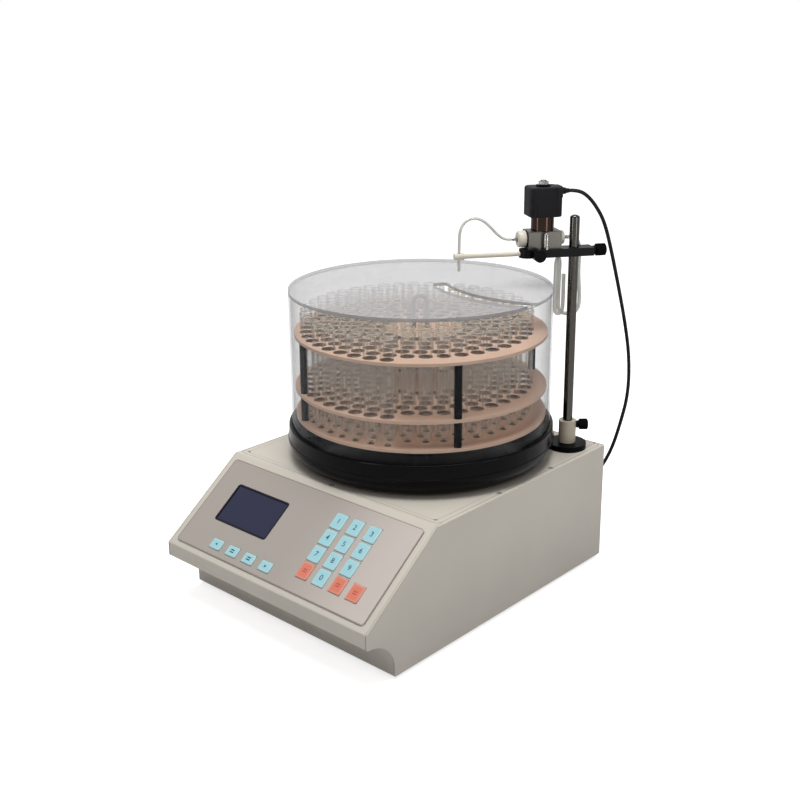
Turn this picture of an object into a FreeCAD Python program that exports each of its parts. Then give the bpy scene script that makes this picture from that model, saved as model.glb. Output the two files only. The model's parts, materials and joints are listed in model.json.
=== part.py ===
import FreeCAD
import Part
import math
import os
import re

import Sketcher

# Fraction collector: a sheet metal case with a sloping control panel, a turntable that carries a
# rack of test tubes under a clear cover, and a mast whose arm holds a valve and a drop nozzle.
#
# Housing coordinates, used throughout: x across from the middle, y back from the fascia, z up from
# the lower edge of the case. Finished pieces are set on their feet and centred by place().

SIZES = {
    # Case
    "body_height": 127,
    "side_margin": 0.5,        # side of the case beyond the pan
    "pan_overhang": 2.5,       # pan over the slope's top edge, and over the rear
    "sheet_wall": 1.5,
    "bend_radius": 2,
    "seam": 0.3,               # gap between neighbouring panels
    "slope_run": 94,           # depth of the sloping panel, fascia to deck
    "fascia_low": 41,
    "fascia_high": 56.5,
    "plinth_setback": 36,
    "undercut_radius": 34,
    "front_lip": 8.5,          # front cover folded back on to the deck
    "deck_border": 9.5,        # side panels folded over the deck
    "deck_thickness": 2,
    "deck_corner": 5,
    "base_flange": 12,
    "foot_height": 4,
    "foot_radius": 11,
    "foot_inset": 32,
    # Case screws
    "screw_head_radius": 3,
    "screw_shank_radius": 1.5,
    "screw_length": 7,
    "screw_clearance": 0.1,
    "clip_size": 6,
    "clip_thickness": 2,
    "side_screw_front": 191,
    "side_screw_pitch": 85,
    "rear_screw_inset": 14,
    # Control panel, in the plane of the slope: across, and up from the fascia's top edge
    "overlay_margin": 8.5,
    "overlay_low": 6,
    "overlay_top": 7.5,
    "overlay_thickness": 1.2,
    "overlay_corner": 4,
    "screen_width": 75,
    "screen_height": 43.5,
    "screen_inset": 65.9,      # overlay's left edge to the screen's middle
    "screen_drop": 46.7,       # overlay's top edge to the screen's middle
    "screen_recess": 0.6,
    "screen_depth": 3.6,
    "screen_margin": 9,        # carrier board beyond the glass
    "key_width": 14.5,
    "key_height": 17,
    "key_inset": 91.9,         # first column to the overlay's right edge
    "key_up": 30,              # lowest row
    "key_pitch_across": 21.6,
    "key_pitch_up": 18.9,
    "key_corner": 1.5,
    "key_rise": 1.2,
    "key_gap": 0.3,
    "key_flange": 0.8,
    "key_flange_depth": 0.2,
    "key_flange_thickness": 1,
    "key_stem": 3,
    "key_travel": 0.5,
    "key_end_gap": 0.05,
    "function_width": 15,
    "function_height": 11,
    "function_inset": 53.7,    # overlay's left edge to the first column
    "function_up": 18,
    "function_pitch": 24.1,
    "window_gap": 0.6,
    "board_drop": 2.4,
    "board_thickness": 1.6,
    "board_margin": 4,
    "standoff_radius": 1.6,
    # Main board and transformer on the base
    "main_board_width": 150,
    "main_board_depth": 90,
    "main_board_inset": 20,
    "main_board_back": 110,
    "main_board_height": 10,
    "main_standoff_inset": 6,
    "transformer_width": 56,
    "transformer_depth": 60,
    "transformer_height": 48,
    "transformer_inset": 28,
    # Mains inlet with its switch, and cable gland, in the rear panel
    "inlet_inset": 55,
    "inlet_up": 56,
    "inlet_width": 50,
    "inlet_height": 60,
    "inlet_flange": 2,
    "inlet_body_depth": 28,
    "inlet_rim": 5,
    "socket_width": 24,
    "socket_height": 16.5,
    "socket_depth": 16,
    "socket_drop": 13,
    "blade_width": 2,
    "blade_height": 4,
    "blade_length": 12,
    "blade_pitch": 7,
    "rocker_width": 12.4,
    "rocker_height": 18.6,
    "rocker_front": 7.5,
    "rocker_back": 4,
    "rocker_rise": 11,
    "rocker_pivot_depth": 4,
    "rocker_tilt": 7,
    "rocker_side_gap": 0.5,
    "rocker_end_gap": 1.2,
    "rocker_pin_radius": 1.2,
    "rocker_pin_length": 1.5,
    "pin_clearance": 0.05,
    "gland_inset": 25,
    "gland_up": 80,
    "gland_length": 14,
    "gland_radius": 8,
    "gland_collar": 5,
    "gland_tip_radius": 4,
    "gland_shank_radius": 6,
    "gland_nut_thickness": 5,
    # Turntable axis and drip pan
    "pan_radius": 139.5,
    "pan_lip_inset": 1.5,
    "pan_lip_thickness": 2.7,
    "pan_bulge": 20,
    "pan_bead_height": 20.5,
    "pan_bead": 0.7,           # step in above the bead
    "pan_height": 34.7,
    "pan_wall": 2,
    "pan_hole_radius": 12,
    "pan_rim_height": 8,
    "pan_ledge_height": 25,
    "pan_ledge_width": 4.3,
    "pan_ledge_thickness": 2.5,
    "cover_gap": 0.5,
    # Clear cover
    "cover_wall": 2,
    "cover_rise": 177,         # lid above the deck
    "lid_thickness": 3,
    "slot_width": 15,
    "slot_reach": 133.3,       # radius of the slot's middle line
    "slot_start": 237.3,       # direction of the slot's round end, seen from its arc's centre
    "slot_sweep": 90,
    "cover_turn": 14,          # cover's own turn from where its slot follows the nozzle
    # Bearings and spindle
    "bearing_flange_radius": 35,
    "bearing_flange_height": 5,
    "bearing_barrel_radius": 20,
    "bearing_barrel_length": 40,
    "bearing_outer_radius": 14,
    "bearing_width": 8,
    "bearing_shoulder": 1,
    "spindle_radius": 6,
    "running_clearance": 0.05,
    "spindle_shoulder_radius": 8.5,
    "spindle_shoulder_gap": 0.2,
    "hub_radius": 30,
    "hub_height": 11.4,
    "boss_radius": 7.9,
    "boss_clearance": 0.1,
    "boss_height": 4.6,
    # Belt drive
    "belt_pitch": 3,
    "turntable_teeth": 80,
    "motor_teeth": 20,
    "tooth_depth": 1.2,
    "belt_line_offset": 0.4,   # belt's pitch line above the tooth tips
    "pulley_lift": 6,          # above the motor's boss
    "pulley_width": 10,
    "pulley_flange": 1.9,
    "pulley_flange_thickness": 1.2,
    "belt_width": 9,
    "belt_thickness": 2,
    "belt_gap": 0.3,
    "belt_centres": 75,
    # Stepper motors
    "motor_size": 42,
    "motor_height": 40,
    "motor_chamfer": 4,
    "motor_boss_radius": 11,
    "motor_boss_height": 2,
    "motor_shaft_radius": 2.5,
    "motor_shaft_depth": 18,
    "motor_bore_depth": 20,
    # Tube rack
    "disc_gap": 2.8,           # rim of the discs to the cover
    "disc_thickness": 3,
    "lower_disc_rise": 44.4,   # discs above the deck
    "middle_disc_rise": 73.3,
    "upper_disc_rise": 129.8,
    "tube_count": 160,
    "tube_radius": 6.5,
    "tube_wall": 1,
    "tube_length": 107,
    "tube_spacing": 17.3,
    "tube_clearance": 0.5,
    "tube_seat_radius": 3.5,
    "tube_seat_gap": 0.05,
    "spiral_edge": 10,         # outermost tube's centre to the disc's rim
    "spiral_start": -64,
    "spiral_pitch": 14.9,
    "post_radius": 3.8,
    "post_count": 4,
    "post_edge": 5,
    "post_start": -32,
    "post_clearance": 0.05,
    "post_tube_gap": 0.3,
    "handle_wire": 2.25,
    "handle_half_span": 6.8,
    "handle_rise": 168.7,
    "handle_turn": 43,
    # Mast
    "mast_gap": 15.435,        # pan's edge to the mast's axis
    "mast_direction": 43.17,   # seen from the turntable's axis
    "mast_radius": 5,
    "mast_lift": 3,            # thick part above the motor's boss
    "mast_rise": 247.7,
    "mast_dome": 3,
    "flange_radius": 20,
    "flange_height": 6,
    "bush_radius": 7.9,
    "bush_clearance": 0.1,
    "bush_length": 27,
    "collar_radius": 9,
    "collar_height": 23.9,
    "collar_knob_drop": 5,
    "collar_knob_turn": 43,
    "collar_knob_radius": 5.8,
    "collar_knob_length": 12,
    "knob_gap": 0.3,
    "knob_screw_radius": 2,
    "knob_teeth": 28,
    "knob_tooth_depth": 0.5,
    # Arm, in its own frame: outwards from the mast axis, sideways, and up
    "arm_angle": 233.2,
    "bar_back": 19,
    "bar_front": 57,
    "bar_left": 8,
    "bar_right": 9,
    "bar_rise": 206.5,
    "bar_height": 8.5,
    "clamp_knob_radius": 6.2,
    "clamp_knob_length": 14,
    "clamp_screw_rise": 4.5,   # above the bar's underside
    "rod_knob_radius": 6.2,
    "rod_knob_length": 11,
    "rod_knob_out": 41,
    "rod_screw_radius": 1.5,
    "rod_radius": 2.5,
    "rod_rise": 4,
    "rod_back": 30,
    "rod_travel": 10,
    "nozzle_reach": 119,
    "nozzle_block_radius": 3.5,
    "nozzle_block_length": 10,
    "nozzle_hole_radius": 1.75,
    # Valve on the arm
    "valve_out": 31.5,
    "valve_side": -7,
    "valve_length": 34.5,
    "valve_width": 22,
    "valve_height": 17.5,
    "valve_chamfer": 0.8,
    "core_radius": 11.5,
    "core_height": 14.2,
    "core_stem_radius": 7,
    "coil_length": 32.8,
    "coil_width": 27.9,
    "coil_height": 29.7,
    "coil_corner": 4,
    "coil_gland_radius": 3.3,
    "coil_gland_length": 10.35,
    "coil_gland_rise": 24.3,     # above the coil's underside
    "washer_radius": 7.5,
    "washer_thickness": 1.5,
    "nut_across_flats": 10,
    "nut_height": 3.4,
    "stud_radius": 3,
    "stud_rise": 1,
    "bolt_radius": 2.8,
    "bolt_gap": 0.1,
    "port_rise": 9.3,          # above the bar
    "port_side": -6,
    "outlet_radius": 8.5,
    "outlet_length": 9,
    "inlet_nut_radius": 7,
    "inlet_nut_length": 4.5,
    "barb_radius": 1.4,
    "barb_length": 6,
    "hose_barb_radius": 2,
    "hose_barb_length": 3,
    # Cords
    "drop_tube_radius": 1.5,
    "hose_radius": 2,
    "cable_radius": 1.9,
}

# Sizes that follow from the ones above, kept in the same sheet
DERIVED = {
    "body_width": "2 * (pan_radius + side_margin)",
    "axis_back": "slope_run + pan_radius - pan_overhang",
    "body_depth": "axis_back + pan_radius - pan_overhang",
    "overlay_width": "body_width - 2 * overlay_margin",
    "slope_length": "sqrt((body_height - fascia_high)^2 + slope_run^2)",
    "overlay_height": "slope_length - overlay_low - overlay_top",
    "screen_across": "screen_inset - overlay_width / 2",
    "screen_up": "overlay_low + overlay_height - screen_drop",
    "key_across": "overlay_width / 2 - key_inset",
    "function_across": "function_inset - overlay_width / 2",
    "main_board_across": "main_board_inset + main_board_width / 2 - body_width / 2",
    "transformer_across": "body_width / 2 - transformer_inset - transformer_width / 2",
    "inlet_across": "inlet_inset - body_width / 2",
    "gland_across": "body_width / 2 - gland_inset",
    "pan_lip_radius": "pan_radius - pan_lip_inset",
    "cover_radius": "pan_lip_radius - pan_lip_thickness - cover_gap",
    "cover_top": "body_height + cover_rise",
    "motor_top": "sheet_wall + motor_height",
    "pulley_low": "motor_top + motor_boss_height + pulley_lift",
    "disc_radius": "cover_radius - cover_wall - disc_gap",
    "lower_disc": "body_height + lower_disc_rise",
    "middle_disc": "body_height + middle_disc_rise",
    "upper_disc": "body_height + upper_disc_rise",
    "spiral_radius": "disc_radius - spiral_edge",
    "post_circle": "disc_radius - post_edge",
    "handle_top": "body_height + handle_rise",
    "mast_across": "(pan_radius + mast_gap) * cos(mast_direction)",
    "mast_back": "axis_back + (pan_radius + mast_gap) * sin(mast_direction)",
    "slot_across": "(pan_radius + mast_gap) * cos(mast_direction + cover_turn)",
    "slot_back": "(pan_radius + mast_gap) * sin(mast_direction + cover_turn)",
    "mast_low": "motor_top + motor_boss_height + mast_lift",
    "mast_top": "body_height + mast_rise",
    "bar_low": "body_height + bar_rise",
    "bar_top": "bar_low + bar_height",
    "clamp_screw_up": "bar_low + clamp_screw_rise",
    "rod_up": "bar_low + rod_rise",
    "port_up": "bar_top + port_rise",
    "valve_top": "bar_top + valve_height",
    "coil_low": "valve_top + core_height",
    "coil_top": "coil_low + coil_height",
    "coil_gland_up": "coil_low + coil_gland_rise",
}

X_AXIS = FreeCAD.Vector(1, 0, 0)
Y_AXIS = FreeCAD.Vector(0, 1, 0)
Z_AXIS = FreeCAD.Vector(0, 0, 1)

# Expressions that several pieces share
SLOPE_ANGLE = "atan((body_height - fascia_high) / slope_run)"
INNER_HALF = "(body_width / 2 - sheet_wall - seam)"
DECK_HALF = "(body_width / 2 - deck_border - seam)"
DECK_FRONT = "(slope_run + front_lip + seam)"
DECK_REAR = "(body_depth - sheet_wall - seam)"
DECK_UNDER = "(body_height - deck_thickness)"
KEY_BOTTOM = "(key_travel + key_end_gap - board_drop)"
SPINDLE_SHOULDER = f"({DECK_UNDER} - bearing_shoulder + spindle_shoulder_gap)"
HUB_LOW = "(lower_disc - hub_height)"
TURNTABLE_PULLEY = "(turntable_teeth * belt_pitch / (2 * pi) - belt_line_offset)"
MOTOR_PULLEY = "(motor_teeth * belt_pitch / (2 * pi) - belt_line_offset)"
COVER_LOW = "(body_height + pan_ledge_height)"
VALVE_FRONT = "(valve_out + valve_length / 2)"
VALVE_REAR = "(valve_out - valve_length / 2)"
COLLAR_LOW = "(body_height + flange_height + knob_gap)"
COLLAR_SCREW = f"({COLLAR_LOW} + collar_height - collar_knob_drop)"
SEAT_LIFT = "(sqrt(tube_radius^2 - tube_seat_radius^2) - tube_radius + tube_seat_gap)"
TUBE_LOW = f"(lower_disc + disc_thickness + {SEAT_LIFT})"

doc = FreeCAD.newDocument("fraction_collector")
sheet = doc.addObject("Spreadsheet::Sheet", "Sizes")
for row, (alias, number) in enumerate(SIZES.items(), start=1):
    sheet.set(f"A{row}", alias)
    sheet.set(f"B{row}", str(number))
    sheet.setAlias(f"B{row}", alias)
doc.recompute()
for row, (alias, formula) in enumerate(DERIVED.items(), start=len(SIZES) + 1):
    sheet.set(f"A{row}", alias)
    sheet.setAlias(f"B{row}", alias)
    sheet.set(f"B{row}", f"={formula}")
doc.recompute()

pieces = []


# ---------------------------------------------------------------- helpers

def named(text):
    """Write the sizes in an expression as cells of the sheet."""
    def with_sheet(word):
        return f"Sizes.{word[0]}" if word[0] in SIZES or word[0] in DERIVED else word[0]

    return re.sub(r"[a-z][a-z_]+", with_sheet, str(text))


def value(text):
    """Work out an expression of the sheet's sizes as a number."""
    result = sheet.evalExpression(named(text))
    return float(getattr(result, "Value", result))


def bind(item, prop, text):
    """Tie a property to an expression of the sheet's sizes."""
    item.setExpression(prop, named(text))


def move(item, across="0", back="0", up="0"):
    """Place a construction solid by its own expressions."""
    bind(item, "Placement.Base.x", across)
    bind(item, "Placement.Base.y", back)
    bind(item, "Placement.Base.z", up)
    return item


def turn(item, axis, angle):
    """Turn an item about an axis through its own origin."""
    item.Placement = FreeCAD.Placement(FreeCAD.Vector(), FreeCAD.Rotation(axis, 1))
    bind(item, "Placement.Rotation.Angle", angle)
    return item


def keep(label, item, across="0", back="0", up="0"):
    """Name a finished piece and set it on its feet, centred, from housing coordinates."""
    item.Label = label
    move(item, across, f"{back} - (body_depth + gland_length) / 2", f"{up} + foot_height")
    pieces.append(item)
    return item


def keep_on_slope(label, item):
    """Name a finished piece made in the plane of the control panel and lay it there."""
    return keep(label, turn(item, X_AXIS, SLOPE_ANGLE), up="fascia_high")


def keep_on_arm(label, item):
    """Name a finished piece made in the arm's frame and swing it to the arm's direction."""
    return keep(label, turn(item, Z_AXIS, "arm_angle"), "mast_across", "mast_back")


def block(x_range, y_range, z_range):
    """Box between three pairs of expressions."""
    item = doc.addObject("Part::Box", "block")
    for prop, (low, high) in zip(("Length", "Width", "Height"), (x_range, y_range, z_range)):
        bind(item, prop, f"({high}) - ({low})")
    return move(item, x_range[0], y_range[0], z_range[0])


def about(middle, size):
    """Range of a given size about a middle."""
    return f"({middle}) - ({size}) / 2", f"({middle}) + ({size}) / 2"


def stand(item, along):
    """Lay a solid made along z along another axis."""
    if along == "x":
        item.Placement = FreeCAD.Placement(FreeCAD.Vector(), FreeCAD.Rotation(Y_AXIS, 90))
    if along == "y":
        item.Placement = FreeCAD.Placement(FreeCAD.Vector(), FreeCAD.Rotation(X_AXIS, -90))


def set_along(item, along, start, first, second):
    """Place a solid's start on its axis: first and second are the other two coordinates in order."""
    spot = {"x": (start, first, second), "y": (first, start, second), "z": (first, second, start)}
    return move(item, *spot[along])


def rod(radius, start, end, first="0", second="0", along="z"):
    """Cylinder from start to end along an axis."""
    item = doc.addObject("Part::Cylinder", "rod")
    bind(item, "Radius", radius)
    bind(item, "Height", f"({end}) - ({start})")
    stand(item, along)
    return set_along(item, along, start, first, second)


def taper(start_radius, end_radius, start, end, first="0", second="0", along="z"):
    """Cone frustum from start to end along an axis."""
    item = doc.addObject("Part::Cone", "taper")
    bind(item, "Radius1", start_radius)
    bind(item, "Radius2", end_radius)
    bind(item, "Height", f"({end}) - ({start})")
    stand(item, along)
    return set_along(item, along, start, first, second)


def fuse(*items):
    """Join solids into one."""
    item = doc.addObject("Part::MultiFuse", "joined")
    item.Shapes = list(items)
    item.Refine = True
    return item


def cut(base, *tools):
    """Cut tools out of a base."""
    item = doc.addObject("Part::Cut", "cut")
    item.Base = base
    item.Tool = tools[0] if len(tools) == 1 else fuse(*tools)
    return item


def group(*items):
    """Keep several solids together without joining them."""
    item = doc.addObject("Part::Compound", "group")
    item.Links = list(items)
    return item


def ring(outer, inner, start, end, first="0", second="0"):
    """Upright tube."""
    return cut(rod(outer, start, end, first, second), rod(inner, start, end, first, second))


def built(shape):
    """Hold a shape that Part's own functions made."""
    item = doc.addObject("Part::Feature", "made")
    item.Shape = shape
    return item


def new_body(name):
    """Start a PartDesign body."""
    return doc.addObject("PartDesign::Body", name)


def new_sketch(body, role, offset="0"):
    """Start a sketch on one of the body's own origin planes."""
    sketch = body.newObject("Sketcher::SketchObject", "sketch")
    support = next(item for item in body.Origin.OriginFeatures if item.Role == role)
    sketch.AttachmentSupport = (support, [""])
    sketch.MapMode = "FlatFace"
    bind(sketch, "AttachmentOffset.Base.z", offset)
    return sketch


def pin_point(sketch, index, end, point):
    """Fix one end of a sketch curve at a pair of expressions."""
    for kind, text in zip(("DistanceX", "DistanceY"), point):
        number = sketch.addConstraint(Sketcher.Constraint(kind, -1, 1, index, end, value(text)))
        bind(sketch, f"Constraints[{number}]", text)


def outline(sketch, points):
    """Draw a closed outline of straight lines through points given as pairs of expressions."""
    corners = [FreeCAD.Vector(value(a), value(b), 0) for a, b in points]
    first = sketch.GeometryCount
    count = len(points)
    for index, corner in enumerate(corners):
        sketch.addGeometry(Part.LineSegment(corner, corners[(index + 1) % count]), False)
    for index in range(count):
        after = first + (index + 1) % count
        sketch.addConstraint(Sketcher.Constraint("Coincident", first + index, 2, after, 1))
    for index, point in enumerate(points):
        pin_point(sketch, first + index, 1, point)


def rectangle(sketch, x_range, y_range):
    """Draw a rectangle between two pairs of expressions."""
    left, right = x_range
    low, high = y_range
    outline(sketch, [(left, low), (right, low), (right, high), (left, high)])


def circle(sketch, centre, radius):
    """Draw a circle about a pair of expressions."""
    middle = FreeCAD.Vector(value(centre[0]), value(centre[1]), 0)
    index = sketch.addGeometry(Part.Circle(middle, Z_AXIS, value(radius)), False)
    pin_point(sketch, index, 3, centre)
    number = sketch.addConstraint(Sketcher.Constraint("Radius", index, value(radius)))
    bind(sketch, f"Constraints[{number}]", radius)


def pad(body, sketch, length):
    """Raise a sketch into a solid along its normal."""
    feature = body.newObject("PartDesign::Pad", "pad")
    feature.Profile = sketch
    bind(feature, "Length", length)
    doc.recompute()
    return feature


def pocket(body, sketch):
    """Cut a sketch right through the body, both ways."""
    feature = body.newObject("PartDesign::Pocket", "pocket")
    feature.Profile = sketch
    before = body.Shape.Volume
    feature.Type = "ThroughAll"
    feature.Midplane = True
    doc.recompute()
    if body.Shape.Volume >= before:
        raise ValueError(f"{body.Name}: the pocket cuts nothing")
    return feature


def edges_where(shape, test):
    """Names of the edges whose middle point passes a test."""
    names = []
    for index, edge in enumerate(shape.Edges, start=1):
        middle = edge.valueAt((edge.FirstParameter + edge.LastParameter) / 2)
        if test(middle, edge):
            names.append(f"Edge{index}")
    return names


def near(first, second):
    """Whether two lengths agree."""
    return abs(first - second) < 1e-4


def round_edges(body, radius, test):
    """Round the edges of the body's latest feature that pass a test."""
    base = body.Tip
    feature = body.newObject("PartDesign::Fillet", "fillet")
    feature.Base = (base, edges_where(base.Shape, test))
    bind(feature, "Radius", radius)
    doc.recompute()
    return feature


def upright(middle, edge):
    """Whether an edge is a straight line along z."""
    return edge.Curve.TypeId == "Part::GeomLine" and abs(edge.Curve.Direction.z) > 0.999


def toothed(teeth, radius, depth, low, high):
    """Solid with straight teeth all round, from low to high along z."""
    step = 2 * math.pi / teeth
    shares = ((0, radius - depth), (0.3, radius - depth), (0.45, radius), (0.85, radius))
    corners = []
    for tooth in range(teeth):
        for share, reach in shares:
            angle = (tooth + share) * step
            corners.append(FreeCAD.Vector(reach * math.cos(angle), reach * math.sin(angle), low))
    corners.append(corners[0])
    face = Part.Face(Part.makePolygon(corners))
    return face.extrude(FreeCAD.Vector(0, 0, high - low))


# ---------------------------------------------------------------- case

def countersink(spot, grow="0"):
    """Countersunk screw head and shank, pointing down into the deck at a spot."""
    x, y = spot
    head = f"screw_head_radius + {grow}"
    shank = f"screw_shank_radius + {grow}"
    low = "body_height - (screw_head_radius - screw_shank_radius)"
    return fuse(taper(shank, head, low, "body_height", x, y), rod(shank, "body_height - screw_length", low, x, y))


def rear_countersink(spot, grow="0"):
    """The same screw pointing forwards into the rear panel."""
    x, z = spot
    head = f"screw_head_radius + {grow}"
    shank = f"screw_shank_radius + {grow}"
    start = "body_depth - (screw_head_radius - screw_shank_radius)"
    thread = rod(shank, "body_depth - screw_length", start, x, z, along="y")
    return fuse(taper(shank, head, start, "body_depth", x, z, along="y"), thread)


FRONT_SCREW = ("0", "slope_run + front_lip / 2")
SIDE_SCREW_BACKS = ("side_screw_front", "side_screw_front + side_screw_pitch")
REAR_SCREWS = [(f"{side} * (body_width / 2 - rear_screw_inset)", up)
               for side in (-1, 1)
               for up in ("rear_screw_inset", "body_height - rear_screw_inset")]


def side_screws(side):
    """Places of the deck screws along one side."""
    return [(f"{side} * (body_width / 2 - deck_border / 2)", back) for back in SIDE_SCREW_BACKS]


def base_plate():
    """Bottom sheet with its two long edges turned up."""
    back = ("plinth_setback + sheet_wall + seam", DECK_REAR)
    plate = block((f"-{INNER_HALF}", INNER_HALF), back, ("0", "sheet_wall"))
    left = block((f"-{INNER_HALF}", f"sheet_wall - {INNER_HALF}"), back, ("0", "base_flange"))
    right = block((f"{INNER_HALF} - sheet_wall", INNER_HALF), back, ("0", "base_flange"))
    keep("base_plate", fuse(plate, left, right))


def on_fold(back, up):
    """Test for an edge across the case at a place in its side view."""
    return lambda middle, edge: near(middle.y, value(back)) and near(middle.z, value(up))


def slope_tools():
    """Windows through the sloping sheet behind the screen and the keys, in the plane of the slope."""
    depth = ("-sheet_wall - 2", "2")
    glass = block(about("screen_across", "screen_width + 2 * window_gap"),
                  about("screen_up", "screen_height + 2 * window_gap"), depth)
    digits = block(key_window(3, "key_across", "key_pitch_across", "key_width"),
                   key_window(3, "key_up", "key_pitch_up", "key_height"), depth)
    functions = block(key_window(3, "function_across", "function_pitch", "function_width"),
                      key_window(0, "function_up", "0", "function_height"), depth)
    tools = turn(fuse(glass, digits, functions), X_AXIS, SLOPE_ANGLE)
    return move(tools, up="fascia_high")


def key_window(steps, first, pitch, size):
    """Range that clears the flanges of a row of keys."""
    reach = f"({size} / 2 + key_flange + window_gap)"
    return f"{first} - {reach}", f"{first} + {steps} * {pitch} + {reach}"


def front_cover():
    """One folded sheet: plinth, undercut, fascia, slope and the front strip of the deck."""
    body = new_body("front_sheet")
    sketch = new_sketch(body, "YZ_Plane", f"-{INNER_HALF}")
    steep = f"(1 - sin({SLOPE_ANGLE})) / cos({SLOPE_ANGLE})"
    inner_bend = f"slope_run + sheet_wall * tan({SLOPE_ANGLE} / 2)"
    fascia_inner = f"fascia_high - sheet_wall * {steep}"
    outline(sketch, [
        ("plinth_setback", "0"),
        ("plinth_setback", "fascia_low"),
        ("0", "fascia_low"),
        ("0", "fascia_high"),
        ("slope_run", "body_height"),
        ("slope_run + front_lip", "body_height"),
        ("slope_run + front_lip", "body_height - sheet_wall"),
        (inner_bend, "body_height - sheet_wall"),
        ("sheet_wall", fascia_inner),
        ("sheet_wall", "fascia_low + sheet_wall"),
        ("plinth_setback + sheet_wall", "fascia_low + sheet_wall"),
        ("plinth_setback + sheet_wall", "0"),
    ])
    pad(body, sketch, f"2 * {INNER_HALF}")
    limited = "min(undercut_radius; plinth_setback - bend_radius - 0.01; fascia_low - 0.01)"
    round_edges(body, limited, on_fold("plinth_setback", "fascia_low"))
    round_edges(body, f"{limited} + sheet_wall",
                on_fold("plinth_setback + sheet_wall", "fascia_low + sheet_wall"))
    outer_folds = (("0", "fascia_low"), ("0", "fascia_high"), ("slope_run", "body_height"))
    inner_folds = (("sheet_wall", fascia_inner), (inner_bend, "body_height - sheet_wall"))
    for back, up in outer_folds:
        round_edges(body, "bend_radius", on_fold(back, up))
    for back, up in inner_folds:
        round_edges(body, "bend_radius - sheet_wall", on_fold(back, up))
    keep("front_cover", cut(body, slope_tools(), countersink(FRONT_SCREW, "screw_clearance")))


def side_panel(label, side):
    """Side sheet in the case's outline, folded over the edge of the deck."""
    body = new_body(f"{label}_sheet")
    low, high = ("body_width / 2 - sheet_wall", "body_width / 2") if side > 0 else (
        "-body_width / 2", "sheet_wall - body_width / 2")
    sketch = new_sketch(body, "YZ_Plane", low)
    outline(sketch, [
        ("plinth_setback", "0"),
        ("plinth_setback", "fascia_low"),
        ("0", "fascia_low"),
        ("0", "fascia_high"),
        ("slope_run", "body_height"),
        ("body_depth", "body_height"),
        ("body_depth", "0"),
    ])
    pad(body, sketch, "sheet_wall")
    flange = new_sketch(body, "XY_Plane", "body_height - sheet_wall")
    inner = f"{side} * (body_width / 2 - deck_border)"
    outer = f"{side} * (body_width / 2 - sheet_wall / 2)"
    rectangle(flange, (inner, outer) if side > 0 else (outer, inner), (DECK_FRONT, DECK_REAR))
    pad(body, flange, "sheet_wall")
    limited = "min(undercut_radius; plinth_setback - bend_radius - 0.01; fascia_low - 0.01)"
    round_edges(body, limited, on_fold("plinth_setback", "fascia_low"))
    for back, up in (("0", "fascia_low"), ("0", "fascia_high")):
        round_edges(body, "bend_radius", on_fold(back, up))
    edge = value(f"{side} * body_width / 2")
    top = value("body_height")
    slope_end = value(DECK_FRONT)

    def deck_fold(middle, _edge):
        return near(middle.x, edge) and near(middle.z, top) and middle.y > slope_end

    round_edges(body, "sheet_wall - 0.1", deck_fold)
    keep(label, cut(body, *[countersink(spot, "screw_clearance") for spot in side_screws(side)]))


def rear_panel():
    """Rear sheet with openings for the mains inlet and the cable gland."""
    plate = block((f"-{INNER_HALF}", INNER_HALF), ("body_depth - sheet_wall", "body_depth"), ("0", "body_height"))
    through = ("body_depth - 2 * sheet_wall", "body_depth + sheet_wall")
    inlet = block(about("inlet_across", "inlet_width - 2 * inlet_rim"), through,
                  about("inlet_up", "inlet_height - 2 * inlet_rim"))
    gland = rod("gland_shank_radius", *through, "gland_across", "gland_up", along="y")
    screws = [rear_countersink(spot, "screw_clearance") for spot in REAR_SCREWS]
    keep("rear_panel", cut(plate, inlet, gland, *screws))


def top_plate():
    """Deck sheet let in between the folded edges, with holes for the spindle and the mast."""
    body = new_body("deck_sheet")
    sketch = new_sketch(body, "XY_Plane", DECK_UNDER)
    rectangle(sketch, (f"-{DECK_HALF}", DECK_HALF), (DECK_FRONT, DECK_REAR))
    pad(body, sketch, "deck_thickness")
    round_edges(body, "deck_corner", upright)
    holes = new_sketch(body, "XY_Plane", DECK_UNDER)
    circle(holes, ("0", "axis_back"), "spindle_shoulder_radius + 1")
    circle(holes, ("mast_across", "mast_back"), "bush_radius + bush_clearance")
    pocket(body, holes)
    keep("top_plate", body)


def rubber_feet():
    """Four feet under the base."""
    feet = []
    for across in ("foot_inset - body_width / 2", "body_width / 2 - foot_inset"):
        for back in ("plinth_setback + foot_inset", "body_depth - foot_inset"):
            feet.append(taper("foot_radius - 1", "foot_radius", "-foot_height", "0", across, back))
    keep("rubber_feet", group(*feet))


def case_screws():
    """Countersunk screws in their clips under the sheet."""
    screws = []
    for spot in [FRONT_SCREW] + side_screws(-1) + side_screws(1):
        top = "body_height - sheet_wall"
        clip = block(about(spot[0], "clip_size"), about(spot[1], "clip_size"), (f"{top} - clip_thickness", top))
        screws.append(fuse(countersink(spot), clip))
    for spot in REAR_SCREWS:
        rear = "body_depth - sheet_wall"
        clip = block(about(spot[0], "clip_size"), (f"{rear} - clip_thickness", rear), about(spot[1], "clip_size"))
        screws.append(fuse(rear_countersink(spot), clip))
    keep("case_screws", group(*screws))


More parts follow.
